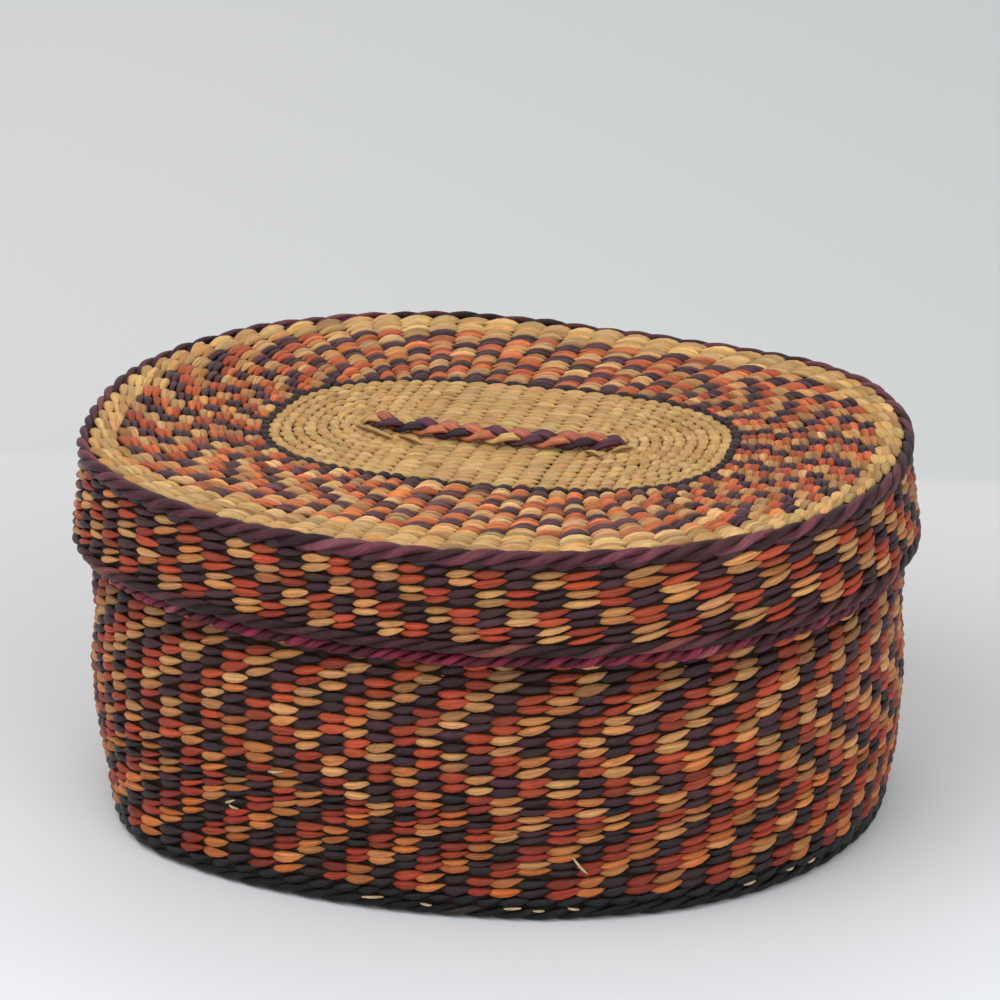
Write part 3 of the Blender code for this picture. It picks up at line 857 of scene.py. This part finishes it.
lidTop = dict(
    columns=84,
    edgeOffset=-2.7,
    places=dict(zip(range(0, 84, 3), (
        0, 28, 60, 97, 130, 152, 175, 200, 229, 258, 288, 323, 358, 395, 430, 460.3, 495.3, 530.3, 567.3,
        603.3, 637.3, 670.3, 700.3, 732.3, 764.3, 793.3, 826.3, 852.3,
    ))),
    ends=((6, 36), (51, 78)),  # between these columns stakes are added on the way out
    endPitch=(5.2, 2.0),  # spacing there at the racetrack, and how much wider it is at the edge
    order=("plum", "straw", "salmon"),
    shifts=(0, 1, 2, 1, 0, -1, 0, 1),  # of each pair, from the outside in
    rings=((0, 1, 2), (3, 4, 5), (6, 7)),  # the pairs in each piece
    pairRows=(0.56, 1.44),  # the two rows of a pair lie close
    darkTall=0.88,
    paleTall=1.06,
    # painted shade: the top's stitches take the darker look at the ends, at the back and on the right, where
    # less light falls on it
    highShare=(0.8, 0.25, 0.35),  # front, ends and back, and so on below
    paintedShadeRight=0.15,
    start=0.045,
    end=(0.722, 0.857, 0.775),  # share of the way out where the border starts
    borderPitch=(3.5, 2.7, 3.5),
    borderRows=6,
    borderIn=0.7,
    borderTall=1.12,
    borderFrom=0.2,  # a border stitch starts this far into its row at least
    borderColumns=0.97,
    borderHighShare=0.6,
    outlineShare=0.5,  # of the start
    outlineHighShare=0.3,
    outlineTall=3.6,
    outlineSlant=6.0,
    centreZ=130.05,
    dish=5.6,
    dishPower=1.5,
    depths=(1.15, 3.3),
    reach=1.34,
    tall=1.25,
    slant=16.0,
)
borderLeaf = dict(outerLeaf, Point=0.3, Material=panelFibre)
panel = dict(
    halfLength=83.0,
    halfWidth=52.5,
    squareness=2.68,
    coreSquareness=2.13,
    shift=3.3,  # the racetrack sits a little to the back
    rows=13,
    firstRow=2.0,
    rowPitch=4.04,
    column=7.4,
    turnColumn=5.2,
    reach=1.36,
    tall=1.16,
    slants=(18.0, 4.0),  # front half and back half
    highShare=0.5,
    spread=0.06,
    stain=0.5,
)
panelLeaf = dict(borderLeaf, Thickness=2.1 * mm, Bow=0.5 * mm, Jitter=0.12 * mm, Sway=0.06)
fineTurn = np.linspace(-pi, pi, 3001)
straight = panel["halfLength"] - panel["halfWidth"]


def panelOval(angle, halfWidth):
    core, halfSize = panel["coreSquareness"], panel["halfWidth"]
    squareness = core + (panel["squareness"] - core) * halfWidth / halfSize
    x, y = ovalAt(angle, panel["halfLength"] - halfSize + halfWidth, halfWidth, squareness)
    return x, y + panel["shift"]


def topPoint(angle, share):
    run = runOf(angle)
    innerX, innerY = panelOval(angle, panel["halfWidth"])
    outerX, outerY, _ = around(run, lidTop["edgeOffset"] + uneven(run, 132))[0].T
    x, y = innerX + (outerX - innerX) * share, innerY + (outerY - innerY) * share
    height = (lidTop["dish"] - lidSag(run)) * np.clip(share, 0, 1) ** lidTop["dishPower"]
    return points(x, y, lidTop["centreZ"] + height)


def bySide(angle, front, aside, back):  # eased from the front by way of the ends to the back
    front = front * np.maximum(-np.sin(angle), 0) ** 2
    return front + aside * np.cos(angle) ** 2 + back * np.maximum(np.sin(angle), 0) ** 2


def ringPlaces(sizes, shareAt):  # the angle and the colour number of each column of one ring
    run, index = spaced(sizes)
    fine = np.linspace(0, 2 * pi, 1441) - pi / 2
    length = total(np.linalg.norm(np.diff(topPoint(fine, shareAt(fine)), axis=0), axis=1))
    angle = (angleAt(run) + pi / 2) % (2 * pi) - pi / 2
    spots = list(zip(angle, index))
    out = float(np.mean(shareAt(fine)))
    pitch = sizes["endPitch"][0] + sizes["endPitch"][1] * out
    for first, last in sizes["ends"]:
        low, high = np.interp((angle[first], angle[last]), fine, length)
        most = last - first
        count = most - 3 * max(round((most - (high - low) / pitch) / 3), 0)
        even = np.arange(1, count) / count
        measured = (run[first:last + 1] - run[first]) / (run[last] - run[first])
        shares = even + (np.interp(even, np.arange(most + 1) / most, measured) - even) * out
        added = np.interp(low + (high - low) * shares, length, fine)
        spots = [spot for spot in spots if not first < spot[1] < last]
        spots += list(zip(added, first + np.arange(1, count)))
    return [np.array(values) for values in zip(*sorted(spots))]


def topRow(guide, angle, shareAt, pitch, tall, colours, slant, facing=1):
    step, inStep = 0.006, 0.02  # of the angle and of the share, to find how the surface lies
    share, depth = shareAt(angle), lidTop["depths"][facing < 0]
    place = topPoint(angle, share)
    ahead, behind = (topPoint(angle + away, shareAt(angle + away)) for away in (step, -step))
    level = unit(ahead - behind)
    inward = topPoint(angle, share - inStep) - place
    inward = unit(inward - level * np.sum(inward * level, 1)[:, None])
    outward = np.cross(level, inward)
    place, turn = place - outward * depth, radians(slant) * facing
    stand(guide, place, level, inward, outward, turn, facing, pitch, tall, colours)


def makeLidTop(sizes):
    inner = Guide()
    steps = 2 * len(sizes["shifts"])

    def widthAt(angle):
        return np.linalg.norm(topPoint(angle, 1) - topPoint(angle, 0), axis=1)

    def borderAt(angle):
        return bySide(angle, *sizes["end"])

    def pairShare(place):
        return lambda angle: borderAt(angle) - (borderAt(angle) - sizes["start"]) / steps * place

    def pitchAt(angle):
        return bySide(angle, *sizes["borderPitch"]) / widthAt(angle)

    def borderShare(row):
        return lambda angle: 1 - (row + sizes["borderIn"]) * pitchAt(angle)

    def even(share):
        return lambda angle: np.full(len(angle), share)

    def row(outer, shareAt, angle, tall, kinds, highShare, slant=sizes["slant"], least=0.0):
        line = topPoint(angle, shareAt(angle))
        pitch = np.linalg.norm(np.roll(line, -1, 0) - np.roll(line, 1, 0), axis=1) / 2 * sizes["reach"]
        hue, stain = dyed(kinds, highShare)
        tall = tall * np.where(np.array(kinds) == "plum", sizes["darkTall"], sizes["paleTall"])
        chosen = shareAt(angle) > least
        at = angle[chosen], shareAt, pitch[chosen], tall[chosen]
        topRow(outer, *at, (hue[chosen], stain[chosen]), slant)
        topRow(inner, *at, (np.roll(hue, 1, 0)[chosen], np.roll(stain, 1)[chosen]), slant, -1)

    for ring, members in enumerate(sizes["rings"]):
        outer = Guide()
        for member in members:
            angle, index = ringPlaces(sizes, pairShare(2 * member + 1))
            kinds = kindsOf(sizes["order"], index, sizes["shifts"][member])
            tall = (borderAt(angle) - sizes["start"]) / steps * widthAt(angle) * sizes["tall"]
            # painted shade: darker at the ends, the back and the right of the top
            highShare = bySide(angle, *sizes["highShare"]) - sizes["paintedShadeRight"] * np.maximum(np.cos(angle), 0)
            for place in sizes["pairRows"]:
                row(outer, pairShare(2 * member + place), angle, tall, kinds, highShare)
        name, solid = (f"top_{kind}_{3 - ring}" for kind in ("stitches", "courses"))
        weave(outer, name, outerLeaf, 210 + ring * 7, "lid", "woven_courses", solid)

    outer = Guide()
    angle, _ = ringPlaces(sizes, even(sizes["borderColumns"]))
    tall = bySide(angle, *sizes["borderPitch"]) * sizes["tall"] * sizes["borderTall"]
    least = borderAt(angle) + sizes["borderFrom"] * pitchAt(angle)
    kinds, highShare = ["undyed"] * len(angle), sizes["borderHighShare"]
    for place in range(sizes["borderRows"]):
        row(outer, borderShare(place), angle, tall, kinds, highShare, least=least)
    weave(outer, "border_stitches", borderLeaf, 240, "lid", "natural_fibre", "border_courses")

    outer, share = Guide(), even(sizes["start"] * sizes["outlineShare"])
    angle, _ = ringPlaces(sizes, share)
    kinds, highShare = ["dark"] * len(angle), sizes["outlineHighShare"]
    row(outer, share, angle, sizes["outlineTall"], kinds, highShare, sizes["outlineSlant"])
    weave(outer, "outline_stitches", outerLeaf, 250, "lid", "black_fibre", "outline_course")
    return inner


def panelRow(halfWidth):  # where the stitches of one row of the racetrack stand, and how they lie
    x, y = panelOval(fineTurn, halfWidth)
    length = lengthAlong(x, y)
    count = int(straight / panel["column"])
    columns = np.arange(-count, count + 1) * panel["column"]
    front, back = fineTurn < 0, fineTurn > 0
    spots = [*np.interp(columns, x[front], length[front]), *np.interp(columns, -x[back], length[back])]
    turns = (spots[2 * count], spots[2 * count + 1]), (spots[-1], spots[0] + length[-1])
    for low, high in turns:
        steps = max(int(round((high - low) / panel["turnColumn"])), 2)
        spots += list(low + (high - low) * np.arange(1, steps) / steps)
    spots = np.sort(np.array(spots) % length[-1])
    pitch = (np.roll(spots, -1) - np.roll(spots, 1)) % length[-1] / 2
    at = np.interp(spots, length, fineTurn)
    ahead = np.interp((spots + 0.5) % length[-1], length, fineTurn)
    place, after = (points(*panelOval(angle, halfWidth), lidTop["centreZ"]) for angle in (at, ahead))
    return place, unit(after - place), pitch, at


def makePanel(sizes, inner):
    outer = Guide()
    for row in range(sizes["rows"]):
        place, level, pitch, at = panelRow(sizes["firstRow"] + row * sizes["rowPitch"])
        lie = level, np.cross(upright, level), upright
        slant = np.radians(np.where(np.sin(at) < 0, *sizes["slants"]))
        size = pitch * sizes["reach"], sizes["rowPitch"] * sizes["tall"]
        for guide, depth, facing in zip((outer, inner), lidTop["depths"], (1, -1)):
            hue, stain = dyed(["undyed"] * len(place), sizes["highShare"], sizes["spread"])
            dye = hue, stain * sizes["stain"]
            stand(guide, place - upright * depth, *lie, slant * facing, facing, *size, dye)
    weave(outer, "panel_stitches", panelLeaf, 270, "lid", "natural_fibre", "centre_panel")


underLid = makeLidTop(lidTop)
makePanel(panel, underLid)
weave(underLid, "under_lid_stitches", innerLeaf, 290, "lid", "woven_courses")
print("lid top is woven")

base = dict(
    rows=33,
    firstRow=0.4,
    wallZ=2.0,  # where the wall gives the edge its shape
    coreHalfWidth=1.2,
    squareness=2.13,
    edgeOffset=-8.4,
    pitch=9.4,
    reach=1.25,
    tall=4.0,
    heights=(4.4, 1.4),  # of the stitches inside and underneath
    plainRows=12,
    order=("dark", "natural", "red"),
    highShare=0.5,
    slant=9.0,
)


def makeBase(sizes):
    under, over = Guide(), Guide()
    edge = runOf(fineTurn)
    edgeX, edgeY, _ = around(edge, sizes["edgeOffset"] + uneven(edge, sizes["wallZ"]))[0].T
    coreX, coreY = ovalAt(fineTurn, straight, sizes["coreHalfWidth"], sizes["squareness"])
    for row in range(sizes["rows"]):
        share = (row + sizes["firstRow"]) / sizes["rows"]
        x, y = coreX + (edgeX - coreX) * share, coreY + (edgeY - coreY) * share
        length = lengthAlong(x, y)
        girthHere = length[-1]
        count = 3 * max(int(round(girthHere / sizes["pitch"] / 3)), 2)
        spots = (np.arange(count) + 0.5 * (row % 2)) / count * girthHere
        after = (spots + 0.5) % girthHere
        place, ahead = (points(np.interp(at, length, x), np.interp(at, length, y)) for at in (spots, after))
        level = unit(ahead - place)
        lie = level, np.cross(upright, level), upright
        kinds = ["undyed"] * count
        if row >= sizes["plainRows"]:
            kinds = kindsOf(sizes["order"], np.arange(count), row // 2)
        size = girthHere / count * sizes["reach"], sizes["tall"]
        for guide, z, facing in zip((over, under), sizes["heights"], (1, -1)):
            turn, dye = radians(sizes["slant"]) * facing, dyed(kinds, sizes["highShare"])
            stand(guide, place + upright * z, *lie, turn, facing, *size, dye)
    weave(under, "base_under_stitches", innerLeaf, 310, "basket", "woven_base", "base_panel")
    weave(over, "base_inside_stitches", innerLeaf, 320, "basket", "woven_base")


makeBase(base)
print("base is woven")

stakes = dict(
    bodyHeights=(2.2, 12, 30, 52, 75, 93, 98.3, 102.3, 124.6),
    lidHeights=(101.6, 112, 122, 133.2),
    faces=(1.75, 2.75),  # how far behind the wefts' crests the two faces lie
    ribs=0.25,
    steps=169,
    topDrops=(1.9, 2.7),
    topRings=9,
    panelRings=(36.0, 20.0, 8.0),
    baseHeights=(3.2, 2.0),
    baseOffset=-6.5,
    baseCore=(33.0, 3.0, 2.13),
    baseShares=(1.0, 0.7, 0.4, 0.12),
)


def closedMesh(name, places, faces):
    mesh = bpy.data.meshes.new(name)
    mesh.from_pydata((np.asarray(places) * mm).tolist(), [], faces)
    shape = bmesh.new()
    shape.from_mesh(mesh)
    bmesh.ops.recalc_face_normals(shape, faces=shape.faces)
    shape.to_mesh(mesh)
    shape.free()
    mesh.materials.append(stakeFibre)
    mesh.shade_smooth()
    piece = bpy.data.objects.new(name, mesh)
    scene.collection.objects.link(piece)
    return piece


def ringFaces(first, second, count):  # the faces from one ring of points to another
    first, second = first * count, second * count
    return [(first + i, first + (i + 1) % count, second + (i + 1) % count, second + i) for i in range(count)]


def shell(name, heights, sizes, node):  # a closed section taken round the oval, ribbed by its stakes
    count = sizes["columns"] * 4
    run = np.arange(count) * girth / count
    ribs = stakes["ribs"] * np.cos(run / girth * sizes["columns"] * 2 * pi)
    rings = []
    for face, side, levels in zip(stakes["faces"], (1, -1), (heights, heights[::-1])):
        for z in levels:
            offset = float(sizes["crest"](np.float64(z))) - face
            place = around(run, offset + ribs * side + uneven(run, z))[0]
            place[:, 2] = sizes["rise"](run, z)
            rings.append(place)
    faces = [quad for ring in range(len(rings)) for quad in ringFaces(ring, (ring + 1) % len(rings), count)]
    dress(closedMesh(name, np.concatenate(rings), faces), sizes["body"], "warp_fibre", node)


def plate(name, rings, body, slotName, *nodes):  # upper and lower rings, both from the rim to the middle
    count, half = len(rings[0]), len(rings) // 2
    faces = []
    for ring in list(range(half - 1)) + list(range(half, 2 * half - 1)):
        faces += ringFaces(ring, ring + 1, count)
    low = half * count
    faces += [(i, low + i, low + (i + 1) % count, (i + 1) % count) for i in range(count)]
    faces += [tuple((last - 1) * count + i for i in range(count)) for last in (half, 2 * half)]
    dress(closedMesh(name, np.concatenate(rings), faces), body, slotName, *nodes)


def makeStakes(sizes):
    shell("body_stakes", sizes["bodyHeights"], basketWall, "body_warps")
    shell("lid_stakes", sizes["lidHeights"], lidWall, "lid_wall_warps")
    turn = np.linspace(-pi, pi, sizes["steps"])[:-1]
    rings = []
    for drop in sizes["topDrops"]:
        levels = [topPoint(turn, share) for share in np.linspace(1.0, 0, sizes["topRings"])]
        levels += [points(*panelOval(turn, half), lidTop["centreZ"]) for half in sizes["panelRings"]]
        rings += [ring - upright * drop for ring in levels]
    plate("lid_top_stakes", rings, "lid", "warp_fibre", "lid_top_warps")
    edge = runOf(turn)
    edgeX, edgeY, _ = around(edge, sizes["baseOffset"] + uneven(edge, base["wallZ"]))[0].T
    x, y = ovalAt(turn, *sizes["baseCore"])
    rings = [
        points(x + (edgeX - x) * share, y + (edgeY - y) * share, z)
        for z in sizes["baseHeights"] for share in sizes["baseShares"]
    ]
    plate("base_stakes", rings, "basket", "woven_base")


makeStakes(stakes)
print("stakes stand behind the wefts")

braid = dict(
    sag=0.0,  # share of the lid's sag that it follows
    droop=0.0,  # how much lower it hangs at the basket's ends
    strands=3,
    sides=8,
    stray=0.2,
    turnStray=0.22,
    waves=((3, 7, 17), (4, 9, 23), (5, 13, 29)),  # of its wandering out, up and round
    darkness=1.3,  # above 1, the dark dye is commoner
    fleckAndHighlightShare=0.06,
)
shoulderBraid = dict(
    braid, offset=-0.4, z=132.9, sag=1.0, turns=25, steps=22, lay=(1.05, 1.7), width=3.0, thickness=2.7,
    swell=0.18, lumps=0.25, dark=(46, 22, 28), light=(118, 60, 70), fleckAndHighlight=(128, 72, 80), fleckAndHighlightShare=0.08,
)
rimBraid = dict(
    braid, offset=2.8, z=102.0, droop=3.4, turns=26, steps=20, lay=(1.05, 1.25), width=2.6, thickness=2.3,
    stray=0.25, swell=0.2, lumps=0.3, dark=(38, 20, 22), light=(92, 48, 52), fleckAndHighlight=(128, 70, 62),
)
# the ledge cord's rare pale lobes are painted highlights
ledgeRope = dict(
    braid, offset=-0.8, z=96.8, droop=3.0, turns=50, steps=14, lay=(1.15, 1.45), width=2.5, thickness=2.1,
    sides=6, stray=0.25, swell=0.26, lumps=0.5, dark=(56, 20, 30), light=(152, 48, 70), fleckAndHighlight=(158, 82, 92),
    fleckAndHighlightShare=0.03,
)
# the foot braid's rare pale lobes are pale flecks of wear
footBraid = dict(
    braid, offset=-5.2, z=3.15, turns=28, steps=18, lay=(1.15, 1.3), width=2.5, thickness=2.3, swell=0.16,
    lumps=0.2, dark=(15, 14, 15), light=(30, 26, 26), fleckAndHighlight=(52, 42, 36),
)
mouthBraid = dict(
    braid, offset=-6.4, z=126.3, sag=0.45, turns=25, steps=16, lay=(0.95, 1.05), width=2.3, thickness=2.3,
    stray=0.15, swell=0.12, lumps=0.15, dark=(60, 36, 46), light=(98, 58, 72), fleckAndHighlight=(110, 74, 70),
    fleckAndHighlightShare=0.03,
)


def drift(count, waves, size):  # a slow wandering that closes on itself
    turn = np.arange(count) * 2 * pi / count
    moves = sum(np.sin(turn * wave + chance.random() * 2 * pi) for wave in waves)
    return size / len(waves) ** 0.5 * moves


def makeRope(name, sizes, body, slotName, node):  # strands laid round one another, right round the basket
    lines = Lines()
    turns, stray, z = sizes["turns"], sizes["stray"], sizes["z"]
    outWaves, upWaves, turnWaves = sizes["waves"]
    count = int(turns * sizes["steps"])
    run = np.arange(count) * girth / count
    offset = sizes["offset"] + uneven(run, z) + drift(count, outWaves, stray)
    centre, _, outward = around(run, offset)
    height = z - sizes["sag"] * lidSag(run) + drift(count, upWaves, stray) - sizes["droop"] * ends(run)
    height = height[:, None] * upright
    dark, light = linear(sizes["dark"]), linear(sizes["light"])
    for strand in range(sizes["strands"]):
        cycle = run / girth * turns + strand / sizes["strands"]
        turn = 2 * pi * cycle + drift(count, turnWaves, sizes["turnStray"])
        out, up = sizes["lay"]
        arm = outward * np.cos(turn)[:, None] * out + upright * np.sin(turn)[:, None] * up
        lobe = np.floor(cycle + 0.5).astype(int) % turns  # each lobe starts and ends on the hidden side
        hues = dark + (light - dark) * chance.random((turns, 1)) ** sizes["darkness"]
        # a few lobes take the rare pale colour: painted highlights on the ledge cord, pale flecks on the foot
        # braid
        hues[chance.random(turns) < sizes["fleckAndHighlightShare"]] = linear(sizes["fleckAndHighlight"])
        lump = 1 + sizes["lumps"] * (chance.random(turns) - 0.5)
        girths = lump[lobe] * (1 + sizes["swell"] * np.cos(turn))
        lines.line(centre + height + arm, arm, hues[lobe], girths, closed=True)
    lay(lines, name, sizes, body, slotName, node)


makeRope("shoulder_rope", shoulderBraid, "lid", "plum_braid", "shoulder_braid")
makeRope("rim_rope", rimBraid, "lid", "plum_braid", "lid_rim_braid")
makeRope("ledge_rope", ledgeRope, "basket", "magenta_cord", "ledge_cord")
makeRope("foot_rope", footBraid, "basket", "black_fibre", "foot_braid")
makeRope("mouth_rope", mouthBraid, "basket", "plum_braid", "mouth_braid")
print("braids and cords are laid")

handle = dict(
    halfSpan=50.5,
    middle=-1.5,
    bow=9.2,
    endY=1.8,
    rake=1.6,
    archShare=0.88,  # past this share of its half length it dives into the panel
    z=132.7,
    arch=0.9,
    endZ=129.2,
    taper=0.5,
    taperFrom=(0.78, 0.22),
    taperPower=1.5,
    steps=169,
    period=26.6,
    phase=0.25,
    sway=2.15,
    weave=0.95,
    sharpness=1.6,
    sides=10,
    width=4.5,
    thickness=1.7,
    lean=22.0,  # the braid lies over towards the front
)
handleDyes = dict(
    plum=(88, 46, 60), dusk=(52, 31, 40), salmon=(196, 112, 78), rose=(178, 98, 76), natural=(206, 164, 104),
)
handleTurns = {  # the slot of each strand, and the dye of its lobes, left to right, from edge to edge
    "plum": ("plum_braid", "rose plum plum dusk plum plum rose plum plum"),
    "salmon": ("salmon_fibre", "natural natural salmon salmon natural plum dusk plum dusk"),
    "natural": ("natural_fibre", "natural rose dusk salmon salmon rose salmon salmon salmon"),
}


def handleLine(u):
    dive = ramp(np.abs(u), handle["archShare"], 1 - handle["archShare"])
    dive = dive * dive * (3 - 2 * dive)
    z = handle["z"] - handle["arch"] * u * u + (handle["endZ"] - handle["z"]) * dive
    y = handle["endY"] - handle["rake"] * (1 + u) - handle["bow"] * (1 - u * u)
    return np.stack([handle["middle"] + handle["halfSpan"] * u, y, z], 1)


def makeHandle(sizes):
    u = np.linspace(-1, 1, sizes["steps"])
    centre, step = handleLine(u), 0.002
    tangent = unit(handleLine(u + step) - handleLine(u - step))
    flat = unit(np.cross(upright, tangent))
    above = np.cross(tangent, flat)
    lean, turn = radians(sizes["lean"]), 2 * pi
    sideways = flat * cos(lean) + above * sin(lean)
    upward = above * cos(lean) - flat * sin(lean)
    girths = 1 - sizes["taper"] * ramp(np.abs(u), *sizes["taperFrom"]) ** sizes["taperPower"]
    for strand, (name, (slotName, lobes)) in enumerate(handleTurns.items()):
        lobes = lobes.split()
        phase = turn * (u * sizes["halfSpan"] / sizes["period"] + strand / 3 + sizes["phase"])
        over = np.tanh(-sizes["sharpness"] * np.sin(2 * phase)) / tanh(sizes["sharpness"])
        place = centre + sideways * (sizes["sway"] * np.sin(phase) * girths)[:, None]
        place = place + upward * (sizes["weave"] * over * girths)[:, None]
        lobe = np.floor((phase - 1.25 * pi) / pi)  # from under one edge to under the other
        lobe = (lobe - lobe[0]).astype(int) % len(lobes)
        lines = Lines()
        lines.line(place, upward, linear([handleDyes[lobes[at]] for at in lobe]), girths)
        lay(lines, f"handle_braid_{name}", sizes, "lid", slotName, f"handle_strand_{name}")


makeHandle(handle)
print("handle is braided")

looseFibres = dict(
    colour=(214, 190, 150),
    sides=6,
    width=1.1,
    thickness=0.7,
    clear=0.2,  # of the wall
    taper=(0.1, 0.8, 0.6),  # of an arch: where it starts, how much of it there is, and its power
    wall=(  # place along the girth, height, length, tilt in degrees, lift
        (-10, 5.6, 8.0, 8, 0.3), (9, 5.0, 4.0, -6, 0.3), (39, 5.4, 6.0, 4, 0.3), (48, 4.6, 4.0, 0, 0.3),
        (60, 5.2, 4.0, -8, 0.3), (125, 6.2, 5.0, 6, 0.3), (143, 6.6, 3.5, 0, 0.3), (154, 6.4, 4.0, 8, 0.3),
        (62, 22.0, 8.5, -52, 1.6), (-64, 31.5, 4.5, 24, 0.7), (-62.5, 29.8, 4.0, -10, 0.6),
        (-45, 47.0, 6.0, 12, 0.5),
    ),
)
handleTucks = dict(
    colour=(198, 158, 98),
    sides=8,
    width=2.4,
    thickness=1.6,
    clear=0.2,
    lift=0.6,
    panel=(  # both ends of each, beside the handle
        ((-51.5, -4.5), (-35.0, -15.0)), ((-33.0, -12.0), (-22.5, -18.0)),
        ((35.0, -10.5), (41.5, -14.5)), ((44.0, -8.0), (50.0, -2.5)),
    ),
)


def makeLooseEnds(fibres, tucks):
    way = np.linspace(0, 1, 9)
    start, share, power = fibres["taper"]
    taper, arch = np.sin(pi * (start + share * way)) ** power, np.sin(pi * way)
    lines = Lines()
    for run, z, length, tilt, lift in fibres["wall"]:
        turn = radians(tilt)
        along = run + length * cos(turn) * (way - 0.5)
        height = z + length * sin(turn) * (way - 0.5)
        out = bodyCrest(height) + uneven(along, height) + (lift * arch + fibres["clear"])
        place, _, outward = around(along, out)
        place[:, 2] = height
        lines.line(place, outward, linear(fibres["colour"]), taper)
    lay(lines, "loose_fibres", fibres, "basket", "natural_fibre")
    lines = Lines()
    for start, end in tucks["panel"]:
        x, y = (low + way * (high - low) for low, high in zip(start, end))
        height = lidTop["centreZ"] + tucks["clear"] + tucks["lift"] * arch
        lines.line(points(x, y, height), upright, linear(tucks["colour"]), taper)
    lay(lines, "handle_tucks", tucks, "lid", "natural_fibre")


makeLooseEnds(looseFibres, handleTucks)
print("loose ends are in")
